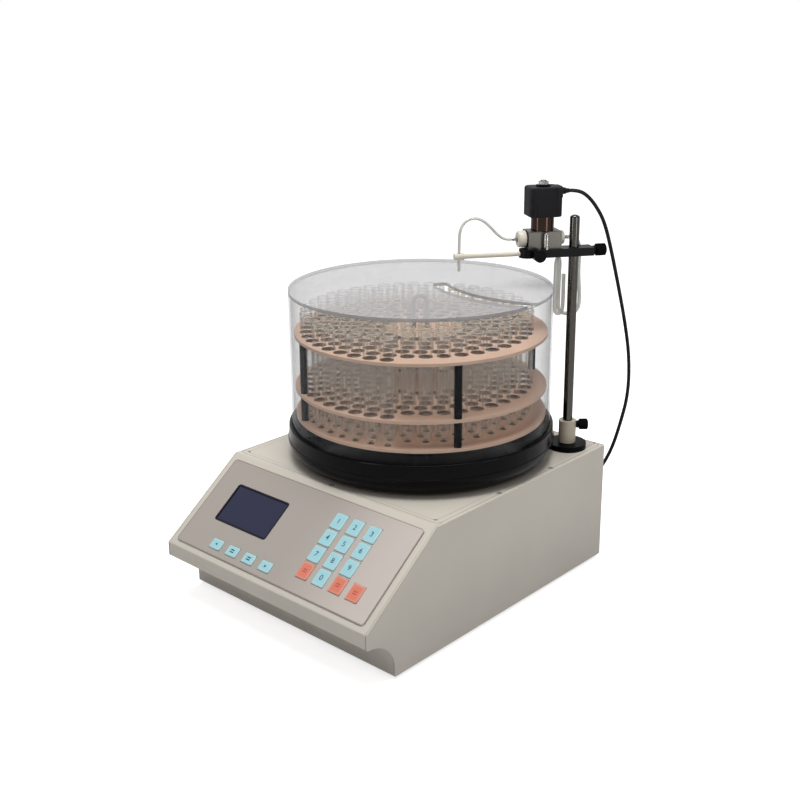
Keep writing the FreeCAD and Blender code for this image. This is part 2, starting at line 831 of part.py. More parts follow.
def rear_connectors():
    """Mains inlet with a switch well, and the gland of the valve cable."""
    front = "body_depth - inlet_body_depth"
    face = "body_depth + inlet_flange"
    shell = fuse(
        block(about("inlet_across", "inlet_width"), ("body_depth", face), about("inlet_up", "inlet_height")),
        block(about("inlet_across", "inlet_width - 2 * inlet_rim"), (front, "body_depth"),
              about("inlet_up", "inlet_height - 2 * inlet_rim")))
    socket = block(about("inlet_across", "socket_width"), (f"{face} - socket_depth", face),
                   about("inlet_up - socket_drop", "socket_height"))
    well = block(about("inlet_across", "rocker_width + 2 * rocker_side_gap"), (f"{face} - socket_depth", face),
                 about("inlet_up + rocker_rise", "rocker_height + 2 * rocker_end_gap"))
    pins = rod("rocker_pin_radius + pin_clearance", *about("inlet_across", rocker_pin_span("2 * rocker_side_gap")),
               "body_depth - rocker_pivot_depth", "inlet_up + rocker_rise", along="x")
    blades = [block(about(f"inlet_across + {step} * blade_pitch", "blade_width"),
                    (f"{face} - socket_depth", f"{face} - socket_depth + blade_length"),
                    about("inlet_up - socket_drop", "blade_height")) for step in (-1, 0, 1)]
    panel_rear = "body_depth - sheet_wall"
    gland = fuse(
        rod("gland_radius", "body_depth", "body_depth + gland_collar", "gland_across", "gland_up", along="y"),
        taper("gland_radius - 1", "gland_tip_radius", "body_depth + gland_collar", "body_depth + gland_length",
              "gland_across", "gland_up", along="y"),
        rod("gland_shank_radius", f"{panel_rear} - gland_nut_thickness - 2", "body_depth",
            "gland_across", "gland_up", along="y"),
        rod("gland_radius", f"{panel_rear} - gland_nut_thickness", panel_rear,
            "gland_across", "gland_up", along="y"))
    keep("rear_connectors", group(fuse(cut(shell, socket, well, pins), *blades), gland))


def rocker_pin_span(extra="0"):
    """Length over the rocker's two pivot pins."""
    return f"rocker_width + 2 * rocker_pin_length + {extra}"


def power_rocker():
    """Rocker on its pivot pins, tilted to one of its two rests."""
    body = block(about("0", "rocker_width"), ("-rocker_back", "rocker_front"), about("0", "rocker_height"))
    pins = rod("rocker_pin_radius", *about("0", rocker_pin_span()), "0", "0", along="x")
    rocker = turn(fuse(body, pins), X_AXIS, "rocker_tilt")
    keep("power_rocker", rocker, "inlet_across", "body_depth - rocker_pivot_depth", "inlet_up + rocker_rise")


# ---------------------------------------------------------------- control panel

def digit_keys():
    """Names and places of the keys of the square pad."""
    rows = (("key_1", "key_2", "key_3"), ("key_4", "key_5", "key_6"), ("key_7", "key_8", "key_9"),
            ("key_red_left", "key_0", "key_red_middle", "key_red_right"))
    for row, labels in enumerate(rows):
        for column, label in enumerate(labels):
            across = f"(key_across + {column} * key_pitch_across)"
            up = f"(key_up + {len(rows) - 1 - row} * key_pitch_up)"
            yield label, across, up, "key_width", "key_height"


def function_keys():
    """Names and places of the keys below the screen."""
    for column in range(4):
        across = f"(function_across + {column} * function_pitch)"
        yield f"key_function_{column + 1}", across, "function_up", "function_width", "function_height"


ALL_KEYS = list(digit_keys()) + list(function_keys())


def control_overlay():
    """Panel plate with openings for the screen and each key."""
    body = new_body("overlay_plate")
    sketch = new_sketch(body, "XY_Plane")
    rectangle(sketch, about("0", "overlay_width"), ("overlay_low", "overlay_low + overlay_height"))
    pad(body, sketch, "overlay_thickness")
    round_edges(body, "overlay_corner", upright)
    openings = new_sketch(body, "XY_Plane")
    rectangle(openings, about("screen_across", "screen_width"), about("screen_up", "screen_height"))
    for _label, across, up, width, height in ALL_KEYS:
        rectangle(openings, about(across, f"{width} + 2 * key_gap"), about(up, f"{height} + 2 * key_gap"))
    pocket(body, openings)
    keep_on_slope("control_overlay", body)


def key(label, across, up, width, height):
    """Key cap with a retaining flange under the plate and a stem to its switch."""
    body = new_body(f"{label}_body")
    flange_top = "-key_flange_depth"
    levels = (
        (flange_top, "overlay_thickness + key_rise + key_flange_depth", "0"),
        (f"{flange_top} - key_flange_thickness", "key_flange_thickness", "2 * key_flange"),
    )
    for start, length, wider in levels:
        sketch = new_sketch(body, "XY_Plane", start)
        rectangle(sketch, about(across, f"{width} + {wider}"), about(up, f"{height} + {wider}"))
        pad(body, sketch, length)
        if wider == "0":
            round_edges(body, "key_corner", upright)
    stem = new_sketch(body, "XY_Plane", KEY_BOTTOM)
    circle(stem, (across, up), "key_stem")
    pad(body, stem, f"-key_flange_depth - key_flange_thickness - {KEY_BOTTOM}")
    top = value("overlay_thickness + key_rise")
    round_edges(body, "key_rise / 2", lambda middle, edge: near(middle.z, top))
    keep_on_slope(label, body)


def display_module():
    """Screen glass on its carrier board, spaced from the sloping sheet."""
    face = "overlay_thickness - screen_recess"
    board_top = f"{face} - screen_depth"
    glass = block(about("screen_across", "screen_width - 2 * key_gap"),
                  about("screen_up", "screen_height - 2 * key_gap"), (board_top, face))
    board = block(about("screen_across", "screen_width + 2 * screen_margin"),
                  about("screen_up", "screen_height + screen_margin + 2 * board_margin"),
                  (f"{board_top} - board_thickness", board_top))
    posts = [rod("standoff_radius", board_top, "-sheet_wall",
                 f"screen_across + {side} * (screen_width / 2 + screen_margin / 2)",
                 f"screen_up + {end} * screen_height / 2") for side in (-1, 1) for end in (-1, 1)]
    keep_on_slope("display_module", group(glass, fuse(board, *posts)))


def board_behind(x_range, y_range):
    """Board behind a window of keys, on four posts outside the window."""
    left, right = x_range
    low, high = y_range
    board = block((f"{left} - board_margin", f"{right} + board_margin"),
                  (f"{low} - board_margin", f"{high} + board_margin"),
                  ("-board_drop - board_thickness", "-board_drop"))
    posts = [rod("standoff_radius", "-board_drop", "-sheet_wall", x, y)
             for x in (f"{left} - board_margin / 2", f"{right} + board_margin / 2")
             for y in (f"{low} - board_margin / 2", f"{high} + board_margin / 2")]
    return fuse(board, *posts)


def circuit_boards():
    """Two key boards on the slope, and the main board and the transformer on the base."""
    digits = board_behind(key_window(3, "key_across", "key_pitch_across", "key_width"),
                          key_window(3, "key_up", "key_pitch_up", "key_height"))
    functions = board_behind(key_window(3, "function_across", "function_pitch", "function_width"),
                             key_window(0, "function_up", "0", "function_height"))
    sloping = move(turn(group(digits, functions), X_AXIS, SLOPE_ANGLE), up="fascia_high")
    low = "sheet_wall + main_board_height"
    board = block(about("main_board_across", "main_board_width"), about("main_board_back", "main_board_depth"),
                  (low, f"{low} + board_thickness"))
    posts = [rod("2 * standoff_radius", "sheet_wall", low,
                 f"main_board_across + {side} * (main_board_width / 2 - main_standoff_inset)",
                 f"main_board_back + {end} * (main_board_depth / 2 - main_standoff_inset)")
             for side in (-1, 1) for end in (-1, 1)]
    transformer = block(about("transformer_across", "transformer_width"),
                        about("main_board_back", "transformer_depth"),
                        ("sheet_wall", "sheet_wall + transformer_height"))
    keep("circuit_boards", group(sloping, fuse(board, *posts), transformer))


# ---------------------------------------------------------------- pan, cover, turntable

def drip_pan():
    """Bowl with a rolled-out side, a ledge that carries the cover and a raised rim round the spindle."""
    body = new_body("pan_bowl")
    sketch = new_sketch(body, "XZ_Plane")
    inner_lip = "cover_radius + cover_gap"
    under_ledge = "pan_ledge_height - pan_ledge_thickness"
    outline(sketch, [
        ("pan_hole_radius", "0"),
        ("pan_radius", "0"),
        ("pan_radius", "pan_bead_height"),
        ("pan_radius - pan_bead", "pan_bead_height + pan_bead"),
        ("pan_lip_radius", "pan_height"),
        (inner_lip, "pan_height"),
        (inner_lip, "pan_ledge_height"),
        (f"{inner_lip} - pan_ledge_width", "pan_ledge_height"),
        (f"{inner_lip} - pan_ledge_width", under_ledge),
        ("pan_radius - pan_bead - pan_wall", under_ledge),
        ("pan_radius - pan_bead - pan_wall", "pan_wall"),
        ("pan_hole_radius + pan_wall", "pan_wall"),
        ("pan_hole_radius + pan_wall", "pan_rim_height"),
        ("pan_hole_radius", "pan_rim_height"),
    ])
    turned = body.newObject("PartDesign::Revolution", "turned")
    turned.Profile = sketch
    turned.ReferenceAxis = (sketch, ["V_Axis"])
    turned.Angle = 360
    doc.recompute()

    def at(radius, up):
        return lambda middle, edge: near(math.hypot(middle.x, middle.y), value(radius)) and near(middle.z, value(up))

    round_edges(body, "pan_bulge", at("pan_radius", "0"))
    round_edges(body, "pan_bulge - pan_wall", at("pan_radius - pan_bead - pan_wall", "pan_wall"))
    round_edges(body, "(pan_lip_radius - cover_radius - cover_gap) / 3", at("pan_lip_radius", "pan_height"))
    keep("drip_pan", body, "0", "axis_back", "body_height")


def cover_wall():
    """Clear tube that stands in the pan."""
    wall = ring("cover_radius", "cover_radius - cover_wall", COVER_LOW, "cover_top - lid_thickness")
    keep("cover_wall", wall, "0", "axis_back")


def cover_lid():
    """Clear disc with an arc-shaped slot for the nozzle, open at the rim."""
    low = "cover_top - lid_thickness"
    lid = rod("cover_radius", low, "cover_top")
    past = (f"{low} - 1", "cover_top + 1")
    sector = rod("slot_reach + slot_width / 2", *past)
    bind(sector, "Angle", "slot_sweep")
    inner = rod("slot_reach - slot_width / 2", *past)
    end = rod("slot_width / 2", *past, "slot_reach", "0")
    slot = turn(fuse(cut(sector, inner), end), Z_AXIS, "slot_start")
    keep("cover_lid", cut(lid, move(slot, "slot_across", "slot_back")), "0", "axis_back")


def bearing_unit():
    """Flanged housing under the deck with two bearings pressed in."""
    top = DECK_UNDER
    shelf = f"{top} - bearing_flange_height"
    bottom = f"{shelf} - bearing_barrel_length + bearing_flange_height"
    upper = (f"{top} - bearing_shoulder - bearing_width", f"{top} - bearing_shoulder")
    lower = (f"{bottom} + bearing_shoulder", f"{bottom} + bearing_shoulder + bearing_width")
    shell = cut(
        fuse(rod("bearing_flange_radius", shelf, top), rod("bearing_barrel_radius", bottom, shelf)),
        rod("bearing_outer_radius - 2", f"{bottom} - 1", f"{top} + 1"),
        rod("bearing_outer_radius", upper[0], f"{top} + 1"),
        rod("bearing_outer_radius", f"{bottom} - 1", lower[1]))
    bearings = [ring("bearing_outer_radius", "spindle_radius + running_clearance", *levels)
                for levels in (upper, lower)]
    keep("bearing_unit", group(shell, *bearings), "0", "axis_back")


def turntable_spindle():
    """Spindle with its hub above the deck and its toothed pulley below."""
    low = value("pulley_low")
    wheel = built(toothed(round(value("turntable_teeth")), value(TURNTABLE_PULLEY), value("tooth_depth"),
                          low, low + value("pulley_width")))
    spindle = fuse(
        wheel,
        rod("spindle_radius", "pulley_low - 0.5", SPINDLE_SHOULDER),
        rod("spindle_shoulder_radius", SPINDLE_SHOULDER, HUB_LOW),
        rod("hub_radius", HUB_LOW, "lower_disc"),
        rod("boss_radius", "lower_disc", "lower_disc + boss_height"))
    keep("turntable_spindle", spindle, "0", "axis_back")


def motor_pulley():
    """Small pulley between flanges, on the motor's shaft."""
    low = value("pulley_low")
    wheel = built(toothed(round(value("motor_teeth")), value(MOTOR_PULLEY), value("tooth_depth"),
                          low, low + value("pulley_width")))
    flange = f"{MOTOR_PULLEY} + pulley_flange"
    top = "pulley_low + pulley_width"
    shaft_low = "motor_top + motor_boss_height - motor_shaft_depth"
    pulley = fuse(
        wheel,
        rod(flange, "pulley_low - pulley_flange_thickness", "pulley_low"),
        rod(flange, top, f"{top} + pulley_flange_thickness"),
        rod("motor_shaft_radius", shaft_low, f"{top} + pulley_flange_thickness"))
    keep("motor_pulley", pulley, "-belt_centres", "axis_back")


def belt_outline(large, small, distance, up):
    """Face inside a belt line round a large circle at the origin and a small one on its left."""
    lean = math.acos((large - small) / distance)
    spots = {}
    for name, centre, radius in (("large", 0, large), ("small", -distance, small)):
        for side in (-1, 1):
            x = centre - radius * math.cos(lean)
            spots[name, side] = FreeCAD.Vector(x, side * radius * math.sin(lean), up)
    far_large = FreeCAD.Vector(large, 0, up)
    far_small = FreeCAD.Vector(-distance - small, 0, up)
    return Part.Face(Part.Wire([
        Part.Arc(spots["large", -1], far_large, spots["large", 1]).toShape(),
        Part.LineSegment(spots["large", 1], spots["small", 1]).toShape(),
        Part.Arc(spots["small", 1], far_small, spots["small", -1]).toShape(),
        Part.LineSegment(spots["small", -1], spots["large", -1]).toShape(),
    ]))


def drive_belt():
    """Belt round both pulleys, a little clear of their teeth."""
    up = value("pulley_low + (pulley_width - belt_width) / 2")
    gap = value("belt_gap")
    distance = value("belt_centres")
    thickness = value("belt_thickness")
    inner = belt_outline(value(TURNTABLE_PULLEY) + gap, value(MOTOR_PULLEY) + gap, distance, up)
    outer = belt_outline(value(TURNTABLE_PULLEY) + gap + thickness, value(MOTOR_PULLEY) + gap + thickness,
                         distance, up)
    band = outer.cut(inner).extrude(FreeCAD.Vector(0, 0, value("belt_width")))
    keep("drive_belt", built(band.Solids[0]), "0", "axis_back")


def stepper_motor():
    """Motor case with its boss, bored for a shaft, standing on the base."""
    body = new_body("motor_case")
    sketch = new_sketch(body, "XY_Plane", "sheet_wall")
    rectangle(sketch, about("0", "motor_size"), about("0", "motor_size"))
    pad(body, sketch, "motor_height")
    base = body.Tip
    chamfer = body.newObject("PartDesign::Chamfer", "chamfer")
    chamfer.Base = (base, edges_where(base.Shape, upright))
    bind(chamfer, "Size", "motor_chamfer")
    doc.recompute()
    top = "motor_top + motor_boss_height"
    boss = rod("motor_boss_radius", "motor_top", top)
    bore = rod("motor_shaft_radius + running_clearance", f"{top} - motor_bore_depth", f"{top} + 1")
    return cut(fuse(body, boss), bore)


def stepper_motors():
    """Motor of the turntable and motor of the mast."""
    turntable = move(stepper_motor(), "-belt_centres", "axis_back")
    mast = move(stepper_motor(), "mast_across", "mast_back")
    keep("stepper_motors", group(turntable, mast))


# ---------------------------------------------------------------- rack of tubes

def tube_places():
    """Centres of the tubes, evenly spaced along a spiral that winds inwards."""
    radius = value("spiral_radius")
    angle = math.radians(value("spiral_start"))
    spacing = value("tube_spacing")
    pitch = value("spiral_pitch")
    for _tube in range(round(value("tube_count"))):
        yield radius * math.cos(angle), radius * math.sin(angle)
        step = 2 * math.asin(spacing / (2 * radius))
        angle -= step
        radius -= pitch * step / (2 * math.pi)


def post_places():
    """Centres of the posts, each turned from its nominal angle to the middle of a gap between tubes."""
    circle_radius = value("post_circle")
    tubes = list(tube_places())
    count = round(value("post_count"))
    half_step = value("tube_spacing") / (2 * circle_radius)
    for post in range(count):
        nominal = math.radians(value("post_start")) + 2 * math.pi * post / count
        options = [nominal + half_step * share / 20 for share in range(-20, 21)]

        def clearance(angle):
            x, y = circle_radius * math.cos(angle), circle_radius * math.sin(angle)
            return min(math.hypot(x - tube_x, y - tube_y) for tube_x, tube_y in tubes)

        best = max(options, key=clearance)
        yield circle_radius * math.cos(best), circle_radius * math.sin(best)


TUBES = list(tube_places())
POSTS = list(post_places())


def round_wire(place, radius, up):
    """Circle as a wire about a place."""
    return Part.Wire(Part.makeCircle(radius, FreeCAD.Vector(place[0], place[1], up)))


def rack_disc(label, up, tube_hole, post_hole=None, centre_hole=None):
    """Disc with a hole for every tube, and holes for the posts and the hub where it has them."""
    low = value(up)
    holes = [round_wire(place, value(tube_hole), low) for place in TUBES]
    if post_hole:
        holes += [round_wire(place, value(post_hole), low) for place in POSTS]
    if centre_hole:
        holes.append(round_wire((0, 0), value(centre_hole), low))
    rim = round_wire((0, 0), value("disc_radius"), low)
    face = Part.Face([rim] + holes, "Part::FaceMakerBullseye")
    disc = face.extrude(FreeCAD.Vector(0, 0, value("disc_thickness")))
    keep(label, built(disc), "0", "axis_back")


def rack_posts():
    """Posts from the lower disc through the middle one to the upper one."""
    low = value("lower_disc + disc_thickness")
    high = value("upper_disc")
    posts = [Part.makeCylinder(value("post_radius"), high - low, FreeCAD.Vector(x, y, low)) for x, y in POSTS]
    keep("rack_posts", built(Part.makeCompound(posts)), "0", "axis_back")


def rack_handle():
    """Wire loop for lifting the rack out."""
    shoulder = "handle_top - handle_wire - handle_half_span"
    legs = [rod("handle_wire", "upper_disc + disc_thickness", shoulder, f"{side} * handle_half_span")
            for side in (-1, 1)]
    bow = doc.addObject("Part::Torus", "bow")
    bind(bow, "Radius1", "handle_half_span")
    bind(bow, "Radius2", "handle_wire")
    bow.Angle3 = 180
    bow.Placement = FreeCAD.Placement(FreeCAD.Vector(), FreeCAD.Rotation(X_AXIS, 90))
    move(bow, up=shoulder)
    keep("rack_handle", turn(fuse(*legs, bow), Z_AXIS, "handle_turn"), "0", "axis_back")


def sample_tubes():
    """Round-bottomed glass tubes standing in the rack."""
    radius = value("tube_radius")
    bore = value("tube_radius - tube_wall")
    low = value(TUBE_LOW)
    high = low + value("tube_length")
    middle = low + radius

    def point(x, z):
        return FreeCAD.Vector(x, 0, z)

    slant = math.sqrt(0.5)
    profile = Part.Wire([
        Part.Arc(point(0, low), point(radius * slant, middle - radius * slant), point(radius, middle)).toShape(),
        Part.LineSegment(point(radius, middle), point(radius, high)).toShape(),
        Part.LineSegment(point(radius, high), point(bore, high)).toShape(),
        Part.LineSegment(point(bore, high), point(bore, middle)).toShape(),
        Part.Arc(point(bore, middle), point(bore * slant, middle - bore * slant), point(0, middle - bore)).toShape(),
        Part.LineSegment(point(0, middle - bore), point(0, low)).toShape(),
    ])
    tube = Part.Face(profile).revolve(FreeCAD.Vector(), Z_AXIS, 360)
    tubes = [tube.translated(FreeCAD.Vector(x, y, 0)) for x, y in TUBES]
    keep("sample_tubes", built(Part.makeCompound(tubes)), "0", "axis_back")


# ---------------------------------------------------------------- mast

def mast_flange():
    """Flanged bush that guides the mast in the deck."""
    solid = fuse(rod("flange_radius", "body_height", "body_height + flange_height"),
                 rod("bush_radius", "body_height - bush_length", "body_height"))
    bore = rod("mast_radius + running_clearance", "body_height - bush_length - 1", "body_height + flange_height + 1")
    keep("mast_flange", cut(solid, bore), "mast_across", "mast_back")


def mast_column():
    """Ground steel column with a domed top and a thin end in the motor."""
    dome = doc.addObject("Part::Ellipsoid", "dome")
    bind(dome, "Radius1", "mast_dome")
    bind(dome, "Radius2", "mast_radius")
    move(dome, up="mast_top - mast_dome")
    column = fuse(
        rod("motor_shaft_radius", "motor_top + motor_boss_height - motor_shaft_depth", "mast_low"),
        rod("mast_radius", "mast_low", "mast_top - mast_dome"),
        dome)
    keep("mast_column", column, "mast_across", "mast_back")


def mast_collar():
    """Collar round the column, drilled for its locking screw."""
    collar = ring("collar_radius", "mast_radius", COLLAR_LOW, f"{COLLAR_LOW} + collar_height")
    hole = rod("knob_screw_radius + pin_clearance", "0", "2 * collar_radius", "0", COLLAR_SCREW, along="x")
    keep("mast_collar", turn(cut(collar, hole), Z_AXIS, "collar_knob_turn"), "mast_across", "mast_back")


def knob_along_x(radius, start, length, screw_radius, screw_end, direction):
    """Ribbed knob with its screw, along x at the origin's height; direction is 1 outwards or -1 inwards."""
    low = value(start)
    far = low + direction * value(length)
    head = toothed(round(value("knob_teeth")), value(radius), value("knob_tooth_depth"), min(low, far), max(low, far))
    tip = value(screw_end)
    screw = Part.makeCylinder(value(screw_radius), abs(low - tip), FreeCAD.Vector(0, 0, min(low, tip)))
    knob = built(head.fuse(screw).removeSplitter())
    stand(knob, "x")
    return group(knob)


def collar_knob():
    """Locking screw of the collar."""
    knob = knob_along_x("collar_knob_radius", "collar_radius + knob_gap", "collar_knob_length",
                        "knob_screw_radius", "mast_radius + knob_gap", 1)
    keep("collar_knob", turn(knob, Z_AXIS, "collar_knob_turn"), "mast_across", "mast_back", COLLAR_SCREW)


# ---------------------------------------------------------------- arm and valve

def clamp_bar():
    """Bar bored for the mast and the nozzle rod, and drilled for their two screws."""
    body = new_body("bar_blank")
    sketch = new_sketch(body, "XY_Plane", "bar_low")
    rectangle(sketch, ("-bar_back", "bar_front"), ("-bar_right", "bar_left"))
    pad(body, sketch, "bar_height")
    front = value("bar_front")
    round_edges(body, "(bar_left + bar_right) / 2 - 0.01",
                lambda middle, edge: upright(middle, edge) and near(middle.x, front))
    mast = rod("mast_radius + running_clearance", "bar_low - 1", f"bar_top + 1")
    rod_bore = rod("rod_radius + running_clearance", "rod_back - rod_travel - 2", "bar_front + 1",
                   "0", "rod_up", along="x")
    clamp_screw = rod("knob_screw_radius + pin_clearance", "-bar_back - 1", "0", "0", "clamp_screw_up", along="x")
    rod_screw = rod("rod_screw_radius + pin_clearance", "0", "bar_left + 1", "rod_knob_out", "rod_up", along="y")
    keep_on_arm("clamp_bar", cut(body, mast, rod_bore, clamp_screw, rod_screw))


def clamp_knob():
    """Ribbed screw knob that locks the bar on the mast."""
    knob = knob_along_x("clamp_knob_radius", "-bar_back - knob_gap", "clamp_knob_length",
                        "knob_screw_radius", "-mast_radius - knob_gap", -1)
    item = turn(knob, Z_AXIS, "arm_angle")
    keep("clamp_knob", item, "mast_across", "mast_back", "clamp_screw_up")


def rod_knob():
    """Round screw knob that locks the nozzle rod in the bar."""
    start = "bar_left + knob_gap"
    knob = fuse(
        rod("rod_knob_radius", start, f"{start} + rod_knob_length", "rod_knob_out", "rod_up", along="y"),
        rod("rod_screw_radius", "rod_radius + knob_gap", start, "rod_knob_out", "rod_up", along="y"))
    keep_on_arm("rod_knob", knob)


def nozzle_rod():
    """Rod in the bar with a drilled block at its end for the drop tube."""
    start = "nozzle_reach - nozzle_block_length / 2"
    solid = fuse(
        rod("rod_radius", "rod_back", start, "0", "rod_up", along="x"),
        rod("nozzle_block_radius", start, f"{start} + nozzle_block_length", "0", "rod_up", along="x"))
    hole = rod("nozzle_hole_radius", "rod_up - nozzle_block_radius - 1", "rod_up + nozzle_block_radius + 1",
               "nozzle_reach", "0")
    keep_on_arm("nozzle_rod", cut(solid, hole))


def valve_body():
    """Steel block of the valve on the bar."""
    body = new_body("valve_block")
    sketch = new_sketch(body, "XY_Plane", "bar_top")
    rectangle(sketch, about("valve_out", "valve_length"), about("valve_side", "valve_width"))
    pad(body, sketch, "valve_height")
    top = value("valve_top")
    base = body.Tip
    chamfer = body.newObject("PartDesign::Chamfer", "chamfer")
    chamfer.Base = (base, edges_where(base.Shape, lambda middle, edge: near(middle.z, top)))
    bind(chamfer, "Size", "valve_chamfer")
    doc.recompute()
    keep_on_arm("valve_body", body)


def valve_core():
    """Round foot of the valve's core, its stem inside the coil and the stud at its top."""
    spot = ("valve_out", "valve_side")
    stud_top = f"coil_top + washer_thickness + nut_height + stud_rise"
    keep_on_arm("valve_core", fuse(
        rod("core_radius", "valve_top", "coil_low", *spot),
        rod("core_stem_radius", "coil_low", "coil_top", *spot),
        rod("stud_radius", "coil_top", stud_top, *spot)))


def valve_coil():
    """Moulded coil that slips over the core, with the cable's gland on its rear face."""
    body = new_body("coil_block")
    sketch = new_sketch(body, "XY_Plane", "coil_low")
    rectangle(sketch, about("valve_out", "coil_length"), about("valve_side", "coil_width"))
    pad(body, sketch, "coil_height")
    round_edges(body, "coil_corner", upright)
    bottom = value("coil_low")
    round_edges(body, "coil_corner / 4", lambda middle, edge: not near(middle.z, bottom) and edge.Length > 0
                and near(middle.z, value("coil_top")))
    rear = "valve_out - coil_length / 2"
    gland = rod("coil_gland_radius", f"{rear} - coil_gland_length", f"{rear} + 1",
                "port_side", "coil_gland_up", along="x")
    bore = rod("core_stem_radius", f"coil_low - 1", f"coil_top + 1", "valve_out", "valve_side")
    keep_on_arm("valve_coil", cut(fuse(body, gland), bore))


def valve_fasteners():
    """Washer and nut on the coil, and the bolt beside the block."""
    spot = ("valve_out", "valve_side")
    washer_top = f"coil_top + washer_thickness"
    washer = ring("washer_radius", "stud_radius", "coil_top", washer_top, *spot)
    nut = doc.addObject("Part::Prism", "nut")
    nut.Polygon = 6
    bind(nut, "Circumradius", "nut_across_flats / sqrt(3)")
    bind(nut, "Height", "nut_height")
    move(nut, *spot, washer_top)
    nut_hole = rod("stud_radius", washer_top, f"{washer_top} + nut_height", *spot)
    side = "valve_side + valve_width / 2 + bolt_radius + bolt_gap"
    bolt = rod("bolt_radius", "bar_top", f"valve_top - valve_chamfer", "valve_out", side)
    keep_on_arm("valve_fasteners", group(washer, cut(nut, nut_hole), bolt))


def valve_fittings():
    """Union nuts and hose tails at the two ends of the block."""
    spot = ("port_side", "port_up")
    outlet_end = f"{VALVE_FRONT} + outlet_length"
    outlet = fuse(
        rod("outlet_radius", VALVE_FRONT, f"{outlet_end} - 2", *spot, along="x"),
        taper("outlet_radius", "outlet_radius - 2", f"{outlet_end} - 2", outlet_end, *spot, along="x"),
        rod("barb_radius", outlet_end, f"{outlet_end} + barb_length", *spot, along="x"))
    inlet_end = f"{VALVE_REAR} - inlet_nut_length"
    inlet = fuse(
        rod("inlet_nut_radius", inlet_end, VALVE_REAR, *spot, along="x"),
        rod("hose_barb_radius", f"{inlet_end} - hose_barb_length", inlet_end, *spot, along="x"))
    keep_on_arm("valve_fittings", group(outlet, inlet))


# ---------------------------------------------------------------- cords

def tangent_path(points):
    """Straight runs through the points with a tangent arc at each corner; returns the wire and its radii."""
    edges = []
    radii = []
    start = points[0]
    for before, corner, after in zip(points, points[1:], points[2:]):
        into = (corner - before).normalize()
        out = (after - corner).normalize()
        turning = into.getAngle(out)
        reach = 0.45 * min((corner - before).Length, (after - corner).Length)
        radius = reach / math.tan(turning / 2)
        entry = corner - into * reach
        leave = corner + out * reach
        inward = (out - into).normalize()
        middle = corner + inward * (radius / math.cos(turning / 2) - radius)
        edges.append(Part.LineSegment(start, entry).toShape())
        edges.append(Part.Arc(entry, middle, leave).toShape())
        radii.append(round(radius, 1))
        start = leave
    edges.append(Part.LineSegment(start, points[-1]).toShape())
    return Part.Wire(edges), radii


def cord(name, spots, radius):
    """Tube of a radius along a list of points."""
    points = [FreeCAD.Vector(*spot) for spot in spots]
    path, radii = tangent_path(points)
    section = Part.Wire(Part.makeCircle(radius, points[0], points[1] - points[0]))
    tube = path.makePipeShell([section], True, True)
    expected = math.pi * radius ** 2 * path.Length
    print(name, "radii", radii, "length", round(path.Length, 1), "volume", round(tube.Volume / expected, 4))
    return built(tube)


# Routes, chosen by hand. The drop tube and the hose are in the arm's frame, the cable in the housing's.
DROP_TUBE_ROUTE = [
    (63.8, -6, 351.3),
    (70.5, -6, 351.3),
    (78.5, -5.2, 356.8),
    (86.5, -4.3, 365.5),
    (94.5, -3.2, 372.6),
    (104, -2.2, 375.4),
    (112.6, -1.1, 372.4),
    (118.3, -0.2, 364.6),
    (119, 0, 349),
    (119, 0, 322.9),
]
INLET_HOSE_ROUTE = [
    (6.7, -6, 351.3),
    (4.2, -6, 351.3),
    (-3.6, -10.4, 351),
    (-10, -13.4, 344),
    (-11, -13.6, 330),
    (-10.6, -13.4, 310),
    (-13, -13.4, 290),
    (-12, -13.4, 269),
    (9.4, -15, 269),
    (9.43, -15, 289),
    (9.3, -15, 309),
    (9, -14.6, 328.5),
    (15.5, -8.4, 328.5),
    (15.7, -8.2, 309),
    (15.6, -8.3, 289),
    (15.5, -8.4, 271),
    (5.7, -11.5, 270.5),
    (5.5, -11.7, 290),
    (5.7, -11.5, 312),
]
VALVE_CABLE_ROUTE = [
    (105.38, 336.83, 398),
    (109.6, 342.46, 398),
    (115.2, 350.6, 394.2),
    (119.8, 361.5, 383),
    (123.8, 374.5, 364),
    (124.9, 388, 333),
    (127.7, 400, 294.7),
    (132.2, 410, 252.8),
    (136.3, 416, 212.6),
    (135.5, 419, 170),
    (128, 418, 134),
    (122, 414, 106),
    (117, 406, 88),
    (115, 394, 80),
    (115, 382, 80),
]


def cords():
    """The nozzle's tube, the hose folded behind the mast and the valve's cable."""
    keep_on_arm("drop_tube", cord("drop_tube", DROP_TUBE_ROUTE, value("drop_tube_radius")))
    keep_on_arm("inlet_hose", cord("inlet_hose", INLET_HOSE_ROUTE, value("hose_radius")))
    keep("valve_cable", cord("valve_cable", VALVE_CABLE_ROUTE, value("cable_radius")))


# ---------------------------------------------------------------- build and write

def build():
    """Make every piece."""
    base_plate()
    front_cover()
    side_panel("left_side_panel", -1)
    side_panel("right_side_panel", 1)
    rear_panel()
    top_plate()
    rubber_feet()
    case_screws()
    rear_connectors()
    power_rocker()
    control_overlay()
    display_module()
    circuit_boards()
    for place in ALL_KEYS:
        key(*place)
    drip_pan()
    cover_wall()
    cover_lid()
    bearing_unit()
    turntable_spindle()
    motor_pulley()
    drive_belt()
    stepper_motors()
    rack_disc("rack_lower_disc", "lower_disc", "tube_seat_radius", centre_hole="boss_radius + boss_clearance")
    rack_disc("rack_middle_disc", "middle_disc", "tube_radius + tube_clearance", "post_radius + post_clearance")
    rack_disc("rack_upper_disc", "upper_disc", "tube_radius + tube_clearance")
    rack_posts()
    rack_handle()
    sample_tubes()
    mast_flange()
    mast_column()
    mast_collar()
    collar_knob()
    clamp_bar()
    clamp_knob()
    rod_knob()
    nozzle_rod()
    valve_body()
    valve_core()
    valve_coil()
    valve_fasteners()
    valve_fittings()
    cords()


